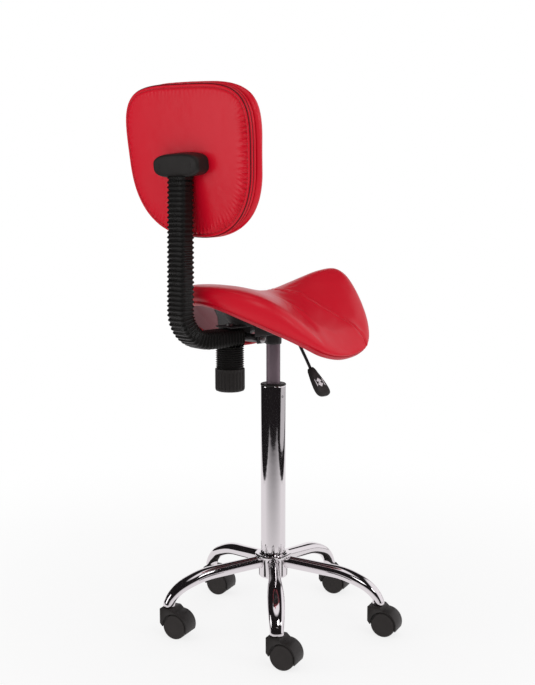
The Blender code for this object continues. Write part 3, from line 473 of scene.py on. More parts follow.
def make_casters():
    """Five casters, all trailing the same way: hood, stem with collar, and two wheels."""
    hood = make_hood_mesh()
    stem = lathe(rounded([(0.0, 0.0515), (0.0054, 0.0515), (0.0054, 0.0597), (0.0088, 0.0599), (0.0088, 0.0612),
                          (0.0054, 0.0614), (0.0054, 0.0845), (0.0, 0.0845)], 0.0005), 32)
    wheels = {"a": wheel_part(-1), "b": wheel_part(1)}
    for number, turn in enumerate(ARM_ANGLES, 1):
        place = np.array([STEM_REACH * math.cos(turn), STEM_REACH * math.sin(turn), 0]) + AXIS
        body = f"caster_{number}"
        new_piece(f"{body}_hood", turned_about_z(hood[0], TRAIL_ANGLE), hood[1], PLASTIC, body, "black_plastic",
                  [f"caster_hood_{number}"], offset=place)
        new_piece(f"{body}_stem", *stem, ZINC, body, "bright_steel", [f"caster_stem_{number}"], offset=place)
        for letter, (points, faces) in wheels.items():
            points = turned_about_z(points + [TRAIL, 0, WHEEL_RADIUS], TRAIL_ANGLE)
            wheel = f"wheel_{number}{letter}"
            new_piece(f"{wheel}_tyre", points, faces, WHEEL, wheel, "black_plastic", [f"caster_{wheel}"], 38, place)


# ---------------------------------------------------------------- lift and mechanism

KNOB_AT = np.array([0.0, 0.1146, 0.0])           # axis of the tension knob
PIVOT = np.array([0.0, 0.053, 0.592])            # middle of the pin that the back tilts about


def make_lift():
    """Gas cylinder and the socket that its taper sits in."""
    cylinder = rounded([(0.0053, 0.205), (0.0053, 0.213), (0.0125, 0.213), (0.0125, 0.57), (0.0115, 0.599),
                        (0.0046, 0.599), (0.0046, 0.602), (0.013, 0.602), (0.014, 0.577), (0.014, 0.205)],
                       0.0006)
    new_piece("lift_cylinder", *lathe(cylinder, 64), GREY_STEEL, "seat", "bright_steel", ["gas_cylinder"])
    collar = rounded([(0.0142, 0.576), (0.0134, 0.604), (0.016, 0.6048), (0.0166, 0.604), (0.0166, 0.58),
                      (0.0162, 0.5768), (0.0152, 0.576)], 0.0008)
    new_piece("seat_collar", *lathe(collar, 64), BLACK_STEEL, "seat", "black_steel", ["taper_socket"])


def bolt_head(at):
    """Hexagon head on a washer, facing down."""
    radius, rim, height = 0.005, 0.00725, 0.0038
    washer = lathe(rounded([(0, 0), (rim, 0), (rim, -0.0012), (0, -0.0012)], 0.0003), 28, centre=at)
    head = lathe([(0, -0.001), (radius, -0.001), (radius, 0.0008 - height), (radius * 0.86, -height), (0, -height)],
                 6, centre=at)
    return join_parts([washer, head])


def make_seat_plate():
    """Pressed tray under the seat with pivot ears, rear tongue, stiffening ribs and its fixing bolts."""
    parts = []

    def pressed(across, along, up, radius=0.0012):
        """Adds a flat piece within these bounds."""
        parts.append(rounded_box(*zip(sorted(across), along, up), radius))

    pressed((-0.04, 0.04), (-0.075, 0.085), (0.618, 0.621))
    pressed((-0.022, 0.022), (0.08, 0.132), (0.618, 0.621))
    pressed((-0.04, 0.04), (-0.075, -0.0722), (0.6, 0.62))
    for side in (-1, 1):
        wall = side * 0.04, side * 0.0374        # with a gap that leaves room for the lever
        pressed(wall, (-0.075, -0.007), (0.6, 0.62), 0.001)
        pressed(wall, (0.007, 0.085), (0.6, 0.62), 0.001)
        pressed(wall, (-0.008, 0.008), (0.6168, 0.62), 0.001)
        pressed((side * 0.0225, side * 0.0255), (0.04, 0.066), (0.5835, 0.62))
        pressed((side * 0.03, side * 0.032), (-0.07, -0.012), (0.61, 0.619), 0.0009)
    new_piece("seat_tray", *join_parts(parts), BLACK_STEEL, "seat", "black_steel", ["seat_plate"])
    heads = [bolt_head((x, y, 0.618)) for x in (-0.031, 0.031) for y in (-0.06, 0.074)]
    new_piece("tray_bolts", *join_parts(heads), ZINC, "seat", "bright_steel")
    end = [(0, 0.025), (0.0076, 0.0256), (0.0076, 0.027), (0.0062, 0.0274), (0.0058, 0.029), (0.003, 0.0297),
           (0, 0.0298)]
    ends = [lathe(rounded([(r, side * x) for r, x in end], 0.0006), 32, "X", PIVOT) for side in (-1, 1)]
    shank = lathe([(0, -0.026), (0.004, -0.026), (0.004, 0.026), (0, 0.026)], 24, "X", PIVOT)
    new_piece("pivot_pin", *join_parts([*ends, shank]), ZINC, "seat", "bright_steel", ["pivot_bolt"])


def make_lever():
    """Bent rod to the lift's button, with a flattened, dished grip and a printed double arrow."""
    route = [(0.005, 0.6113), (-0.03, 0.6113), (-0.048, 0.6065), (-0.064, 0.5935), (-0.085, 0.566),
             (-0.1075, 0.5335)]
    path = spline([(x, 0, z) for x, z in route], 10)
    rod = skin(sweep(path, lambda t: (0.003, 0.003), Y, 2, 20))
    new_piece("lever_arm", *rod, BLACK_STEEL, "height_lever", "bright_steel", ["lever_rod"])
    along = unit(unit(path[-1] - path[-2]) + np.array([-0.1, 0, 0.03]))
    outward = np.array([along[2], 0, -along[0]])
    if outward[0] > 0:
        outward = -outward
    start = path[-1] - along * 0.006
    # along the grip, half width and half thickness
    stations = [(0.0, 0.004, 0.004), (0.0006, 0.0052, 0.0047), (0.003, 0.0064, 0.0054), (0.006, 0.0078, 0.0058),
                (0.013, 0.0099, 0.0056), (0.022, 0.0126, 0.0054), (0.032, 0.015, 0.0052), (0.042, 0.0168, 0.005),
                (0.05, 0.0174, 0.0047), (0.056, 0.0166, 0.0043), (0.06, 0.014, 0.0038), (0.0625, 0.01, 0.003),
                (0.0636, 0.0045, 0.0018)]
    angle = np.arange(48) * TAU / 48
    rings = []
    for distance, wide, thick in spline(stations, 4):
        a, b = superellipse(wide, thick, 4.2, angle)
        dish = 0.0009 * smooth(0.012, 0.022, distance) * smooth(0.06, 0.052, distance)
        b = np.where(b > 0, b - dish * np.exp(-(a / (0.62 * wide)) ** 4), b)
        rings.append(start + along * distance + np.outer(a, Y) + np.outer(b, outward))
    new_piece("lever_grip", *skin(rings), PLASTIC, "height_lever", "black_plastic", ["lever_paddle"])
    shape = [(0.0, 0.0098), (0.007, 0.003), (0.0026, 0.003), (0.0026, -0.003), (0.007, -0.003), (0.0, -0.0098),
             (-0.007, -0.003), (-0.0026, -0.003), (-0.0026, 0.003), (-0.007, 0.003)]
    ring = [start + along * (0.035 + v) + Y * u + outward * 0.0046 for u, v in shape]
    marks = [skin([ring, [p - outward * 0.0005 for p in ring]])]
    bar, faces = rounded_box((-0.0008, -0.0075, -0.0002), (0.0008, 0.0075, 0.0003), 0.0002)
    for across in (-1, 1):
        marks.append(([start + along * (0.035 + y) + Y * (x + across * 0.0098) + outward * (0.0046 + z)
                       for x, y, z in bar], faces))
    new_piece("lever_arrows", *join_parts(marks), WHITE_MARK, "height_lever", "black_plastic", (), 30)


def make_tension_knob():
    """Fluted cup round the foot of the small bellows."""
    flutes = 24

    def fluted(radius, height, turn):
        groove = (0.5 + 0.5 * np.cos(turn * flutes)) ** 3
        zone = smooth(0.4965, 0.5, height) * smooth(0.5375, 0.535, height) * (radius > 0.027)
        return radius - 0.0012 * groove * zone

    outside = [(0.0284, 0.5386), (0.0286, 0.537), *[(0.0286, h) for h in np.linspace(0.536, 0.501, 10)],
               (0.0283, 0.4985), (0.027, 0.4962), (0.0235, 0.4948), (0.015, 0.4941), (0.006, 0.494), (0, 0.494)]
    inside = [(0, 0.53), (0.0245, 0.53), (0.0248, 0.538), (0.0256, 0.5388), (0.0276, 0.539)]
    knob = lathe(inside + outside, 360, centre=KNOB_AT, wobble=fluted)
    new_piece("knob_grip", *knob, PLASTIC, "tension_knob", "black_plastic", ["tension_knob"], 28)


CUP_TOP, KNOB_TRAVEL = 0.539, 0.0032             # the grip's rim, and how far it rises round the bellows' foot


def make_knob_bellows():
    """Small bellows and the spring inside it, both pressed together as the back tilts."""
    low, high, folds = 0.5346, 0.5812, 11
    heights = np.linspace(high, low, folds * 12 + 1)
    phase = (heights - low) / (high - low) * folds * TAU
    wave = 0.5 + 0.5 * np.cos(phase)
    radius = 0.0249 + 0.0024 * wave ** 1.5
    radius = np.where(heights < CUP_TOP + KNOB_TRAVEL, 0.0242, radius)
    inner = [(0.0205, h) for h in heights[::-8]]
    piece = new_piece("knob_boot", *lathe([*zip(radius, heights), *inner], 72, centre=KNOB_AT), RUBBER, "seat",
                      "black_rubber", ["knob_bellows"], 60)
    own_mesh(piece)
    turns = np.linspace(0, 5 * TAU, 241)
    coil = np.stack([0.0105 * np.cos(turns), 0.0105 * np.sin(turns),
                     0.5535 + 0.0355 * turns / turns[-1]], -1) + KNOB_AT
    spring = new_piece("spring_coil", *tube(coil, 0.0013, 10), ZINC, "seat", "bright_steel", ["tension_spring"], 60)
    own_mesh(spring)


# ---------------------------------------------------------------- back bar

LEVEL_Z = 0.5965                                 # height of the level run
UPRIGHT_Y, UPRIGHT_TOP_Y = 0.234, 0.2308         # the upright leans in slightly
BEND, BAR_TOP = 0.058, 0.935                     # radius of the bend, and the top end


def bar_line(lead, top, offset, step):
    """Evenly spaced points of the bar's centreline: lead points, level run, bend, and the leaning upright."""
    level = LEVEL_Z + offset
    centre = np.array([0.0, UPRIGHT_Y - BEND, level + BEND])
    points = [np.array(p, float) for p in lead]
    for y in np.linspace(lead[-1][1], centre[1], 12)[1:-1]:
        points.append(np.array([0.0, y, level]))
    for a in np.radians(np.linspace(-90, 0, 31)):
        points.append(centre + BEND * np.array([0.0, math.cos(a), math.sin(a)]))
    share = (top - centre[2]) / (BAR_TOP - centre[2])
    end = np.array([0.0, UPRIGHT_Y + (UPRIGHT_TOP_Y - UPRIGHT_Y) * share, top])
    points += [points[-1] + (end - points[-1]) * t for t in np.linspace(0, 1, 30)[1:]]
    points = np.array(points)
    length = np.concatenate([[0], np.cumsum(np.linalg.norm(np.diff(points, axis=0), axis=1))])
    even = np.linspace(0, length[-1], int(length[-1] / step))
    return np.stack([np.interp(even, length, points[:, i]) for i in range(3)], -1), even


def make_back_bar():
    """Flat J-shaped bar with the knuckle that it tilts about."""
    lead = [(0, PIVOT[1] - 0.0005, PIVOT[2]), (0, 0.064, PIVOT[2] + 0.0004), (0, 0.078, LEVEL_Z - 0.0006),
            (0, 0.09, LEVEL_Z)]
    path, _ = bar_line(lead, BAR_TOP - 0.001, 0.0, 0.006)
    bar = skin(sweep(path, lambda t: (0.021, 0.004), X, 9, 40))
    knuckle = lathe(rounded([(0, -0.021), (0.0082, -0.021), (0.0082, 0.021), (0, 0.021)], 0.0012), 40, "X", PIVOT)
    new_piece("back_bar", *join_parts([bar, knuckle]), BLACK_STEEL, "back", "black_steel", ["j_bar"])


def make_bar_bellows():
    """Corrugated sleeve: sharp ridges round a flat box section, closer together in the level run and the bend."""
    start, top = 0.0985, 0.901
    path, along = bar_line([(0, start, LEVEL_Z + 0.002)], top, 0.002, 0.00075)
    bend_end = UPRIGHT_Y - BEND - start + BEND * math.pi / 2
    pitch = 0.0074 + 0.0016 * smooth(bend_end - 0.02, bend_end + 0.03, along)
    phase = np.cumsum(np.gradient(along) / pitch)
    wave = smooth(0.06, 0.94, np.abs((phase % 1) - 0.5) * 2)
    ahead = unit(np.gradient(path, axis=0))
    up = np.cross(ahead, X)
    angle = (np.arange(60) + 0.5) * TAU / 60
    rings = []
    for i, point in enumerate(path):
        tip = 0.0024 * wave[i]
        a, b = superellipse(0.0232 + tip, 0.0128 + tip + 0.0022 * (1 - i / len(path)), 5.0, angle)
        rings.append(point + np.outer(a, X) + np.outer(b, up[i]))
    new_piece("bar_boot", *skin(rings), RUBBER, "back", "black_rubber", ["j_bar_bellows"], 60)


# ---------------------------------------------------------------- seat

HALF_WIDTH, HALF_LENGTH, SQUARENESS = 0.16, 0.198, 2.15
PAD_Z = 0.6213                                   # underside of the shell over the tray
CORNER_BULGE, FRONT_TRIM = 0.06, 0.016           # fuller front corners, flatter front
SKIRT_DEPTH = 0.019                              # how much further the edge hangs down at the rear corners
SEAM_RIM, SEAM_MIDDLE = math.radians(51), math.radians(58)   # heading of the seams at the rim and near the middle


def saddle(x, y):
    """Height of the saddle's top: raised front and rear, sides that fall away, steepest in front."""
    ahead, aside = -y, np.hypot(x, 0.012) - 0.012
    crest = (0.6812 + 0.0385 * smooth(-0.035, 0.165, ahead) + 0.02 * smooth(0.015, 0.155, -ahead)
             - 0.011 * smooth(0.165, 0.215, ahead))
    fall = 0.05 + 0.105 * smooth(-0.16, 0.16, ahead)
    power = 2.1 - 0.95 * smooth(-0.12, 0.08, ahead)
    return crest - fall * (aside / 0.16) ** power


def rim_point(angle):
    """Outline of the seat seen from above."""
    x, y = superellipse(HALF_WIDTH, HALF_LENGTH, SQUARENESS, angle)
    heading = np.degrees(np.arctan2(np.abs(x), -y))
    full = 1 + CORNER_BULGE * np.exp(-((heading - 47) / 14) ** 2) - FRONT_TRIM * np.exp(-((heading - 19) / 10) ** 2)
    return x * full, y * full


def skirt_depth(x, y):
    """How much further the edge hangs down here, most at the rear corners."""
    heading = np.degrees(np.arctan2(np.abs(x), -y))
    return SKIRT_DEPTH * np.exp(-((heading - 135) / 27) ** 2)


def seam_heading(reach):
    """Heading of a seam, from straight ahead, at this distance from the middle."""
    return SEAM_RIM + (SEAM_MIDDLE - SEAM_RIM) * (1 - smooth(0.06, 0.18, reach))


def seam_angles(fraction):
    """Ring angles at which the right and left seams cross one row of the seat."""
    dense = np.linspace(0, TAU, 7201)
    x, y = rim_point(dense)
    off = np.abs(np.arctan2(np.abs(x), -y) - seam_heading(fraction * np.hypot(x, y)))
    return [dense[np.argmin(off + 9 * (x * side < 0))] for side in (1, -1)]


def seat_angles():
    """Ring angles at the rim, with extra lines close to each of the two seams."""
    dense = np.linspace(0, TAU, 20001)
    x, y = rim_point(dense)
    seams = seam_angles(1.0)
    length = np.concatenate([[0], np.cumsum(np.hypot(np.diff(x), np.diff(y)))])
    evenly = np.interp(np.linspace(0, length[-1], 169)[:-1], length, dense)
    near = 0.0105                                # spacing of the lines beside a seam, in radians
    kept = [a for a in evenly if all(abs(a - s) > near * 6 for s in seams)]
    steps = (0.25, 0.55, 1.0, 1.6, 2.5, 3.6, 5)
    extra = [s + way * k * near for s in seams for k in (0, *steps) for way in ((1, -1) if k else (1,))]
    return np.array(sorted(kept + extra)), seams


def bent_columns(angles, seams, fraction):
    """The ring angles of one row, shifted so that the close lines stay on the bending seams."""
    found = angles.copy()
    for seam, now in zip(seams, seam_angles(fraction)):
        away = (angles - seam + math.pi) % TAU - math.pi
        found = found + (now - seam) * np.exp(-(away / 0.4) ** 2)
    return found


def seat_rows(angles, seams):
    """Rows of the cushion from its middle, over the rolled edge, and back underneath."""
    rows, marks = [], []
    for s in np.linspace(0.03, 0.9, 30):
        x1, y1 = rim_point(bent_columns(angles, seams, s))
        rows.append(np.stack([x1 * s, y1 * s, saddle(x1 * s, y1 * s)], -1))
        marks.append("top")
    x1, y1 = rim_point(angles)
    roll = 0.015
    out = unit(np.stack([x1 / HALF_WIDTH ** 2, y1 / HALF_LENGTH ** 2], -1))
    skirt = skirt_depth(x1, y1)
    for degrees in (-72, -56, -42, -28, -14, 0, 14, 28, 42, 54):
        a = math.radians(degrees)
        inset = roll * (1 - math.cos(a))
        px, py = x1 - out[:, 0] * inset, y1 - out[:, 1] * inset
        share = 0.5 * (1 + math.sin(a))
        z = saddle(px, py) - roll * 2 * share - skirt * share ** 1.3 - 0.0006
        rows.append(np.stack([px, py, z], -1))
        marks.append("rim")
    for inset, drop in ((0.0062, 0.028), (0.0072, 0.0295), (0.0082, 0.0306), (0.0105, 0.0308), (0.016, 0.0312),
                        (0.024, 0.0318), (0.033, 0.033)):
        px, py = x1 - out[:, 0] * inset, y1 - out[:, 1] * inset
        hung = skirt * (1 - smooth(0.0085, 0.024, inset))
        rows.append(np.stack([px, py, saddle(px, py) - drop - hung - 0.0006], -1))
        marks.append("under")
    inner = rows[-1]
    centre = np.array([0, 0, saddle(0.0, 0.0) - 0.033])
    for s in (0.8, 0.5, 0.25, 0.06):
        ring = centre + (inner - centre) * [s, s, 0]
        ring[:, 2] = saddle(ring[:, 0], ring[:, 1]) - 0.031 - 0.004 * (1 - s)
        rows.append(ring)
        marks.append("under")
    return np.array(rows), marks


def read(vertices, what="co"):
    """Places or normals of a mesh's vertices, one row each."""
    found = np.empty(len(vertices) * 3)
    vertices.foreach_get(what, found)
    return found.reshape(-1, 3)


def move(piece, places):
    """Puts the vertices of a piece at these places."""
    piece.data.vertices.foreach_set("co", places.ravel())
    piece.data.update()


def inflate(piece, free, pressure, cap, frames=20):
    """Lets a closed shape swell as cloth under light pressure, held where `free` is 0, and keeps the result."""
    rest = read(piece.data.vertices)
    held = piece.vertex_groups.new(name="held")
    for index, amount in enumerate(free):
        if amount < 1:
            held.add([index], 1.0 - float(amount), "REPLACE")
    cloth = piece.modifiers.new("cloth", "CLOTH")
    settings = cloth.settings
    settings.quality = 4
    settings.mass = 0.25
    settings.tension_stiffness = settings.compression_stiffness = 22
    settings.shear_stiffness = 8
    settings.bending_stiffness = 2.5
    settings.use_pressure = True
    settings.uniform_pressure_force = pressure
    settings.effector_weights.gravity = 0
    settings.vertex_group_mass = "held"
    cloth.collision_settings.use_collision = False
    cloth.collision_settings.use_self_collision = False
    scene = bpy.context.scene
    cloth.point_cache.frame_start, cloth.point_cache.frame_end = 1, frames
    for step in range(1, frames + 1):
        scene.frame_set(step)
    graph = bpy.context.evaluated_depsgraph_get()
    swollen = piece.evaluated_get(graph)
    moved = read(swollen.to_mesh().vertices) - rest
    swollen.to_mesh_clear()
    piece.modifiers.remove(cloth)
    piece.vertex_groups.clear()
    scene.frame_set(1)
    length = np.linalg.norm(moved, axis=1, keepdims=True)
    move(piece, rest + moved * np.minimum(1, cap / np.maximum(length, 1e-9)))


def subdivide(piece):
    step = piece.modifiers.new("subdivision", "SUBSURF")
    step.levels = step.render_levels = 1
    graph = bpy.context.evaluated_depsgraph_get()
    finished = bpy.data.meshes.new_from_object(piece.evaluated_get(graph))
    piece.modifiers.clear()
    piece.data = finished


def make_seat():
    """Saddle cushion: swollen as cloth, then creased along two seams that meet in the middle."""
    angles, seams = seat_angles()
    rows, marks = seat_rows(angles, seams)
    count = len(angles)
    points, faces = skin(rows)
    seat = new_piece("seat_pad", points, faces, VINYL, "seat", "red_vinyl", ["seat_cushion"], 0)
    on_top = np.repeat([mark != "under" for mark in marks], count)
    on_top = np.append(on_top, [1.0, 0.0])       # the last two points are the middles above and below
    inflate(seat, on_top, 3.0, 0.0025)
    co, normal = read(seat.data.vertices), read(seat.data.vertices, "normal")
    local = co - AXIS
    heading = np.arctan2(np.abs(local[:, 0]), -local[:, 1])
    reach = np.hypot(local[:, 0], local[:, 1])
    from_seam = np.abs(heading - seam_heading(reach)) * reach
    groove = 0.0016 * np.exp(-(from_seam / 0.0014) ** 2) - 0.0007 * np.exp(-((from_seam - 0.0042) / 0.0026) ** 2)
    groove *= smooth(0.004, 0.03, reach) * on_top
    soft = 0.0005 * ripple(local, 16, 1) + 0.00025 * ripple(local, 45, 2)
    pucker = 0.00035 * np.sin(heading * 150 + 3 * ripple(local, 30, 3)) * np.exp(-(from_seam / 0.01) ** 2)
    move(seat, co + normal * ((soft + pucker) * on_top - groove)[:, None])
    # Faces turned under the cushion take the darker, greyer copy of the vinyl: painted shade and a painted haze of
    # reflection.
    seat.data.materials.append(UNDERSIDE_VINYL_PAINTED_SHADE)
    first_painted_shade = (marks.index("under") + 3) * count
    for face in seat.data.polygons:
        if min(face.vertices) >= first_painted_shade and len(points) - 2 not in face.vertices:
            face.material_index = 1
    subdivide(seat)
    make_seat_trim(angles, rows, marks)


def make_seat_trim(angles, rows, marks):
    """The welt along the lower edge, and the narrow band under it."""
    first_under = marks.index("under")
    edge = rows[first_under + 1].copy()
    x1, y1 = rim_point(angles)
    out = unit(np.stack([x1 / HALF_WIDTH ** 2, y1 / HALF_LENGTH ** 2, 0 * x1], -1))
    line = edge + out * 0.0006 + [0, 0, -0.0006]
    new_piece("seat_welt", *tube(np.vstack([line, line[:1]]), 0.0019, 12), PIPING, "seat", "red_vinyl", (), 60)
    band = []
    for inset, drop in ((-0.0004, 0.003), (0.0008, 0.0046), (0.0024, 0.0064), (0.0046, 0.0072), (0.006, 0.006),
                        (0.0056, 0.003)):
        band.append(edge - out * inset + [0, 0, -drop + 0.001])
    new_piece("seat_band", *skin(band, closed=True), PIPING, "seat", "red_vinyl", (), 60)


def make_seat_underside():
    """Plywood shell, vinyl turned under it in a darker, greyer red that paints its shade and a haze of reflection, and
    black cloth with a pinked edge stapled over it all.
    """
    dense = np.arange(720) * TAU / 720
    x1, y1 = rim_point(dense)

    def under(scale, lift):
        """A ring on the shell's underside, flat over the tray, that stands off it by lift."""
        px, py = x1 * scale, y1 * scale
        z = saddle(px, py) - 0.034 + 0.012 * smooth(0.55, 0.94, scale) - 0.0086
        pad = 1 - smooth(0.47, 0.56, np.hypot(px / 0.1615, py / 0.199))
        return np.stack([px, py, z + (PAD_Z - z) * pad - lift], -1)

    upper = [np.stack([x1 * s, y1 * s, saddle(x1 * s, y1 * s) - 0.0345], -1) for s in np.linspace(0.02, 0.56, 6)]
    upper += [under(s, -0.0075) for s in np.linspace(0.6, 0.93, 6)]
    shell = skin([*upper, *[under(s, -0.0006) for s in (0.93, *np.linspace(0.9, 0.4, 22), 0.25, 0.02)]])
    new_piece("seat_shell", *shell, PLYWOOD, "seat", "plywood", ["seat_pan"])
    wrap = [under(s, 0.0006) for s in np.linspace(0.962, 0.57, 14)]
    wrap += [under(s, 0.0001) for s in np.linspace(0.57, 0.962, 9)]
    new_piece("seat_underwrap", *skin(wrap, closed=True), UNDERSIDE_VINYL_PAINTED_SHADE, "seat", "red_vinyl", (), 60)
    teeth = np.abs((dense / TAU * 150) % 1 - 0.5) * 2     # 150 pinked teeth all round
    level = np.degrees(np.arcsin(np.abs(np.sin(dense))))
    outer = 0.61 + 0.018 * teeth + 0.24 * np.exp(-(level / 21) ** 2)
    steps = [0.03, 0.2, *np.linspace(0.38, 0.6, 14)]
    spread = [0.6 + (outer - 0.6) * t for t in (0.35, 0.7, 1.0)]
    fine = [under(s, 0.0016) for s in [*steps, *spread]] + [under(outer - 0.001, 0.001)]
    fine += [under(s, 0.001) for s in [*spread[1::-1], *steps[::-1]]]
    cloth = new_piece("seat_dust_cloth", *skin(fine), CLOTH, "seat", "black_cloth", ["seat_dust_cover"], 60)


# ---------------------------------------------------------------- backrest

BACK_MIDDLE = np.array([0.0, 0.218, 0.9235])     # where the bracket meets the rear face
BACK_LEAN = math.radians(7.4)
BACK_CENTRE_Z = 0.0045                           # the panel's middle stands this far above BACK_MIDDLE
BACK_HALF, BACK_SIDE = 0.139, 0.1735             # half height, and half width at mid height
BACK_ROLL = -0.05                                # the panel hangs slightly round from level


def back_outline(count):
    """Evenly spaced outline of the backrest with its outward directions, as (x, z) pairs."""
    t = np.sin(np.linspace(-math.pi / 2, math.pi / 2, 4001))
    power = np.where(t > 0, 4.0, 2.5)
    half = BACK_SIDE * (1 + 0.06 * t) * np.clip(1 - np.abs(t) ** power, 0, None) ** (1 / power)
    right = np.stack([half, t * BACK_HALF], -1)
    loop = np.vstack([right, right[::-1] * [-1, 1]])
    length = np.concatenate([[0], np.cumsum(np.linalg.norm(np.diff(loop, axis=0), axis=1))])
    even = np.linspace(0, length[-1], count + 1)[:-1]
    outline = np.stack([np.interp(even, length, loop[:, 0]), np.interp(even, length, loop[:, 1])], -1)
    ahead = np.roll(outline, -1, 0) - np.roll(outline, 1, 0)
    out = unit(np.stack([ahead[:, 1], -ahead[:, 0]], -1))
    for _ in range(3):
        out = unit(np.roll(out, 1, 0) + 2 * out + np.roll(out, -1, 0))
    return outline, out


def leaned(x, behind, z):
    """Points that lean with the backrest: across, behind its rear face, and up from BACK_MIDDLE."""
    c, s = math.cos(BACK_LEAN), math.sin(BACK_LEAN)
    return np.stack([x, BACK_MIDDLE[1] + behind * c + z * s, BACK_MIDDLE[2] - behind * s + z * c], -1)


def back_row(outline, out, inset, depth, scale=1.0):
    """One row of a backrest pad, in front of its rear face: set in from the outline, then shrunk to its middle."""
    x, z = ((outline - out * inset) * scale).T
    c, s = math.cos(BACK_ROLL), math.sin(BACK_ROLL)
    return leaned(x * c + z * s, -depth, z * c - x * s + BACK_CENTRE_Z)


def make_back_rear():
    """Padded rear panel with a gathered, stitched border, and two thin dark lines round its side that paint the shade
    in the seams of its sewn bands.
    """
    count = 900
    outline, out = back_outline(count)
    along = np.arange(count) * (0.92 / count)
    seed = np.stack([along * 60, 0 * along, 0 * along], -1)
    gather = np.sin(along / 0.0098 * TAU + 3.0 * ripple(seed, 0.5, 5))
    gather = gather + 0.45 * np.sin(along / 0.0047 * TAU + 3.0 * ripple(seed, 0.9, 15))
    sideways = smooth(-0.02, 0.15, -outline[:, 0]) + 0.35 * smooth(-0.06, -0.13, outline[:, 1])
    strength = (0.9 + 0.9 * ripple(seed, 0.5, 6)) * np.clip(sideways, 0.1, 1.1) * smooth(0.128, 0.075, outline[:, 1])
    strength = 0.1 + 1.15 * np.clip(strength, 0, None)
    rows = [back_row(outline, out, i, d) for i, d in (
        (0.012, 0.016), (0.003, 0.0158), (0.0016, 0.015), (0.0006, 0.0138), (0.0002, 0.0122), (0.0006, 0.0106),
        (0.0016, 0.0096), (0.003, 0.009), (0.0016, 0.0084), (0.0006, 0.0074), (0.0003, 0.006), (0.0008, 0.0046),
        (0.0018, 0.0036), (0.0032, 0.003), (0.0024, 0.0022), (0.0024, 0.001), (0.0034, 0.0001), (0.0048, -0.0003),
        (0.006, -0.0001))]
    for inset, depth, ply in ((0.007, 0.0008, 0.0002), (0.0076, 0.0013, 0.0005), (0.0082, 0.0012, 0.001),
                              (0.009, 0.0007, 0.0016), (0.0105, 0.0001, 0.0019), (0.0125, -0.0001, 0.0016),
                              (0.0155, -0.0003, 0.001), (0.019, -0.0005, 0.0005), (0.0235, -0.0007, 0.0002),
                              (0.029, -0.0008, 0.0001), (0.034, -0.0009, 0.0)):
        rows.append(back_row(outline, out, inset, depth - ply * gather * strength))
    for scale in (0.93, 0.84, 0.72, 0.58, 0.44, 0.3, 0.16, 0.05):
        rows.append(back_row(outline, out, 0.034, -0.0009 - 0.0002 * (1 - scale) ** 0.7, scale))
    points, faces = skin(rows)
    lift = 0.00025 * ripple(points, 18, 7) + 0.00012 * ripple(points, 50, 8)
    points = points + np.outer(lift, [0, math.cos(BACK_LEAN), math.sin(BACK_LEAN)])
    panel = new_piece("back_rear_pad", points, faces, VINYL, "back", "red_vinyl", ["back_panel", "back_board"], 0)
    stitches, arch = [], ((-0.0014, -0.0006), (-0.0009, 0.0002), (0, 0.0004), (0.0009, 0.0002), (0.0014, -0.0006))
    outline, out = back_outline(216)
    place = back_row(outline, out, 0.0076, 0.0011)
    ahead = unit(np.roll(place, -1, 0) - np.roll(place, 1, 0))
    for middle, way in zip(place, ahead):
        line = [middle + way * t + np.array([0, h, 0]) for t, h in arch]
        stitches.append(tube(line, 0.00042, 6))
    new_piece("back_stitches", *join_parts(stitches), THREAD, "back", "red_vinyl", (), 60)
    outline, out = back_outline(360)
    # Two thin dark tubes in the seam shade colour round the side: painted shade in the seams between the sewn bands.
    seam_shade_lines = []
    for depth in (0.003, 0.009):
        line = back_row(outline, out, 0.0017, depth)
        seam_shade_lines.append(tube(np.vstack([line, line[:1]]), 0.0008, 8))
    new_piece("back_seam_shade_lines", *join_parts(seam_shade_lines), SEAM_SHADE, "back", "red_vinyl", (), 60)


def make_back_front():
    """Crowned front cushion, swollen as cloth from its sewn rear edge."""
    count = 220
    outline, out = back_outline(count)
    profile = ((0.03, 0.0166), (0.01, 0.0166), (0.004, 0.0168), (0.0014, 0.0178), (-0.0004, 0.0198),
               (-0.0016, 0.0228), (-0.0018, 0.0262), (-0.0006, 0.03), (0.0022, 0.0338), (0.0066, 0.0372),
               (0.012, 0.04), (0.018, 0.0418), (0.0255, 0.0428))
    rows = [back_row(outline, out, i, d) for i, d in profile]
    free_rows = [0, 0, 0, 0] + [1] * (len(profile) - 4)
    for scale in (0.92, 0.83, 0.73, 0.62, 0.5, 0.38, 0.26, 0.14, 0.04):
        rows.append(back_row(outline, out, 0.0255, 0.0428 + 0.0022 * (1 - scale ** 2), scale))
        free_rows.append(1)
    points, faces = skin(rows)
    free = np.append(np.repeat(free_rows, count), [0.0, 1.0])
    pad = new_piece("back_front_pad", points, faces, VINYL, "back", "red_vinyl", ["back_cushion"], 0)
    inflate(pad, free, 2.5, 0.002)
    co, normal = read(pad.data.vertices), read(pad.data.vertices, "normal")
    soft = 0.0005 * ripple(co, 15, 11) + 0.0002 * ripple(co, 50, 12)
    move(pad, co + normal * (soft * free)[:, None])
    subdivide(pad)


COVER_HALF = 0.0655                              # half width of the cover


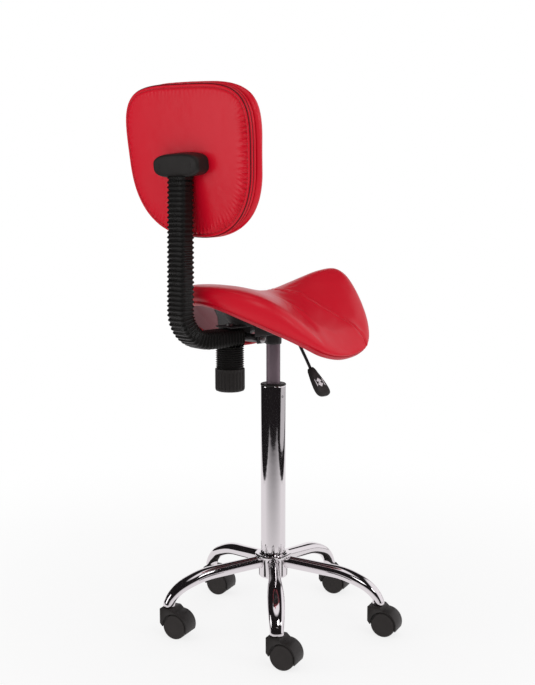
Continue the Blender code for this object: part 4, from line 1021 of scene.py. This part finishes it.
def make_bracket_cover():
    """Barrel-shaped plastic cover with softened edges and two oval plugs."""
    angle = (np.arange(96) + 0.5) * TAU / 96

    def ring(inset, behind):
        x, z = superellipse(COVER_HALF - inset, 0.0205 - inset, 3.4, angle)
        return leaned(x, behind, z * (1 + 0.1 * (1 - (x / COVER_HALF) ** 2)) * 0.97)

    rows = [ring(0.0025, 0.025), ring(0.0025, -0.0002), ring(0.0004, -0.0002), ring(0.0, 0.001)]
    rows += [ring(0.0, y) for y in (0.008, 0.014, 0.019)]
    for a in np.radians((15, 30, 45, 60, 75, 90)):
        rows.append(ring(0.0058 * (1 - math.cos(a)), 0.0205 + 0.007 * math.sin(a)))
    rows += [ring(i, 0.0275 + 0.0006 * (1 - (1 - i / 0.0205) ** 2)) for i in (0.0085, 0.012, 0.016, 0.0195)]
    parts = [skin(rows)]
    ring_a = np.arange(32) * TAU / 32
    for side in (-1, 1):
        for radius, height in ((0.0052, 0.0003), (0.0036, 0.0007)):
            loops = []
            for shrink, lift in ((0.0, -0.001), (0.0, height - 0.0002), (0.0004, height), (radius * 0.9, height)):
                x = side * 0.0445 + (radius - shrink) * 0.85 * np.cos(ring_a)
                loops.append(leaned(x, 0.0277 + lift, (radius - shrink) * 1.55 * np.sin(ring_a)))
            parts.append(skin(loops))
    new_piece("bracket_shell", *join_parts(parts), PLASTIC, "back", "black_plastic", ["bracket_cover"], 45)


def dress_cad_nodes():
    """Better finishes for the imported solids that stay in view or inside."""
    looks = {"bright_steel": ZINC, "black_steel": BLACK_STEEL, "black_plastic": PLASTIC, "black_rubber": RUBBER,
             "chrome": CHROME, "plywood": PLYWOOD, "red_vinyl": VINYL, "black_cloth": CLOTH}
    slots = {s["node"]: s["material_slot"] for s in frame["record"]["subparts"]}
    for name, node in frame["nodes"].items():
        node.data.materials.clear()
        node.data.materials.append(looks[slots[name]])


# ---------------------------------------------------------------- studio

AHEAD, ASIDE = np.array([0.731, -0.682, 0.0]), np.array([-0.682, -0.731, 0.0])    # level, into and across the picture
TOWARDS_CAMERA = (-0.7277, 0.686, 0)
DARK_ROOM = (0.012, 0.01, 0.011)                 # what polished parts reflect where nothing bright stands
FLOOR_SIZE = 30.0


def make_world():
    """White for the camera, even light on matt surfaces, and a dark room with three bright panels for reflections."""
    world = bpy.data.worlds.new("studio")
    bpy.context.scene.world = world
    tree = Tree(world)
    tree.nodes.clear()
    where = tree.add("TexCoord").outputs["Generated"]
    softbox = tree.ramp(tree.dot(where, 0.292 * AHEAD + 0.956 * ASIDE), 0.66, 0.74)
    overhead = tree.ramp(tree.dot(where, (0, 0, 1)), 0.9, 0.96)
    beyond = tree.ramp(tree.dot(where, AHEAD), 0.86, 0.93)
    bright = tree.math("MAXIMUM", tree.math("MAXIMUM", softbox, overhead), beyond)
    rays = tree.add("LightPath").outputs
    plain = tree.colours(rays["Is Camera Ray"], (0.74, 0.73, 0.735), (1.0, 1.0, 1.0))
    mixed = tree.colours(rays["Is Glossy Ray"], plain, tree.colours(bright, DARK_ROOM, (0.95, 0.92, 0.94)))
    back = tree.add("Background", {"Color": mixed, "Strength": 1.0})
    tree.add("OutputWorld", {"Surface": back.outputs[0]})


def make_floor():
    """Pale floor that runs out into the white background. Reflections see a sheet of paper and a bright panel on it."""
    mesh = bpy.data.meshes.new("floor")
    corners = [(x * FLOOR_SIZE, y * FLOOR_SIZE, 0) for x, y in ((-1, -1), (1, -1), (1, 1), (-1, 1))]
    mesh.from_pydata(corners, [], [(0, 1, 2, 3)])
    floor = bpy.data.objects.new("floor", mesh)
    bpy.context.scene.collection.objects.link(floor)
    made = bpy.data.materials.new("pale_floor")
    tree = Tree(made)
    shader = tree.nodes["Principled BSDF"]
    for name, value in (("Base Color", (0.86, 0.86, 0.86, 1)), ("Roughness", 0.8), ("Specular IOR Level", 0.1)):
        tree.feed(shader.inputs[name], value)
    where = tree.add("TexCoord").outputs["Object"]
    reach = tree.add("VectorMath", {0: where}, operation="LENGTH").outputs["Value"]
    glow = tree.add("Emission", {"Color": (1, 1, 1, 1)}).outputs[0]
    pale = tree.add("MixShader", {0: tree.ramp(reach, 0.25, 1.5, 0.8), 1: shader.outputs[0], 2: glow}).outputs[0]
    nearer, aside = tree.dot(where, TOWARDS_CAMERA), tree.dot(where, ASIDE)
    paper = tree.math("MULTIPLY", tree.ramp(tree.math("ABSOLUTE", aside), 1.12, 1.2, 1.0, 0.0),
                      tree.ramp(nearer, 1.52, 1.66, 1.0, 0.0))
    paper = tree.math("MULTIPLY", paper, tree.ramp(nearer, 0.15, 1.55, 0.86, 0.2, "LINEAR"))
    panel = tree.math("MULTIPLY", tree.ramp(aside, 1.5, 1.58, 0.0, 0.55), tree.ramp(nearer, 0.55, 0.85, 1.0, 0.0))
    tint = tree.colours(tree.math("MAXIMUM", paper, panel), DARK_ROOM, (1.0, 0.97, 0.985))
    mirrored = tree.add("Emission", {"Color": tint}).outputs[0]
    glossy = tree.add("LightPath").outputs["Is Glossy Ray"]
    whole = tree.add("MixShader", {0: glossy, 1: pale, 2: mirrored}).outputs[0]
    tree.feed(tree.nodes["Material Output"].inputs["Surface"], whole)
    floor.data.materials.append(made)


def make_camera():
    """The photograph's camera, fitted to the column, the hub and the five wheel contacts."""
    scene = bpy.context.scene
    camera = bpy.data.cameras.new("camera")
    camera.lens, camera.sensor_width = 56.44, 36.0
    made = bpy.data.objects.new("camera", camera)
    scene.collection.objects.link(made)
    made.location = Vector(AXIS) + Vector((-1.5446, 1.4561, 0.854))
    pitch = math.radians(7.4)
    level = Vector((0.7314, -0.682, 0)).normalized()
    look = level * math.cos(pitch) - Vector((0, 0, 1)) * math.sin(pitch)
    made.rotation_euler = look.to_track_quat("-Z", "Y").to_euler()
    scene.camera = made


def add_light(name, place, target, size, power, in_gloss):
    """A square area light aimed at target, unseen by the camera. Reflections show it if in_gloss is set."""
    light = bpy.data.lights.new(name, "AREA")
    light.shape = "SQUARE"
    light.size = size
    light.energy = power
    made = bpy.data.objects.new(name, light)
    made.location = place
    made.rotation_euler = (Vector(target) - Vector(place)).to_track_quat("-Z", "Y").to_euler()
    made.visible_camera = False
    made.visible_glossy = in_gloss
    bpy.context.scene.collection.objects.link(made)


dress_cad_nodes()
make_arms()
make_hub()
make_column()
make_casters()
make_lift()
make_seat_plate()
make_lever()
make_tension_knob()
make_knob_bellows()
make_back_bar()
make_bar_bellows()
make_seat()
make_seat_underside()
make_back_rear()
make_back_front()
make_bracket_cover()
bpy.context.scene.view_settings.view_transform = "Standard"
bpy.context.scene.view_settings.look = "None"
make_world()
make_floor()
add_light("key", (-2.1, 0.8, 2.4), (0, 0, 0.7), 0.9, 8.0, True)
add_light("left_box", (1.3, 1.85, 0.82), (0, 0.1, 0.85), 0.8, 3.6, True)
add_light("left_fill", (1.2, 3.0, 1.1), (0, 0, 0.8), 1.8, 12.0, False)
add_light("right_fill", (-2.9, -1.2, 1.2), (0, 0, 0.7), 1.8, 8.0, False)
add_light("glint", (-2.3, -0.7, 1.5), (0, 0.1, 0.8), 0.45, 3.0, True)
make_camera()
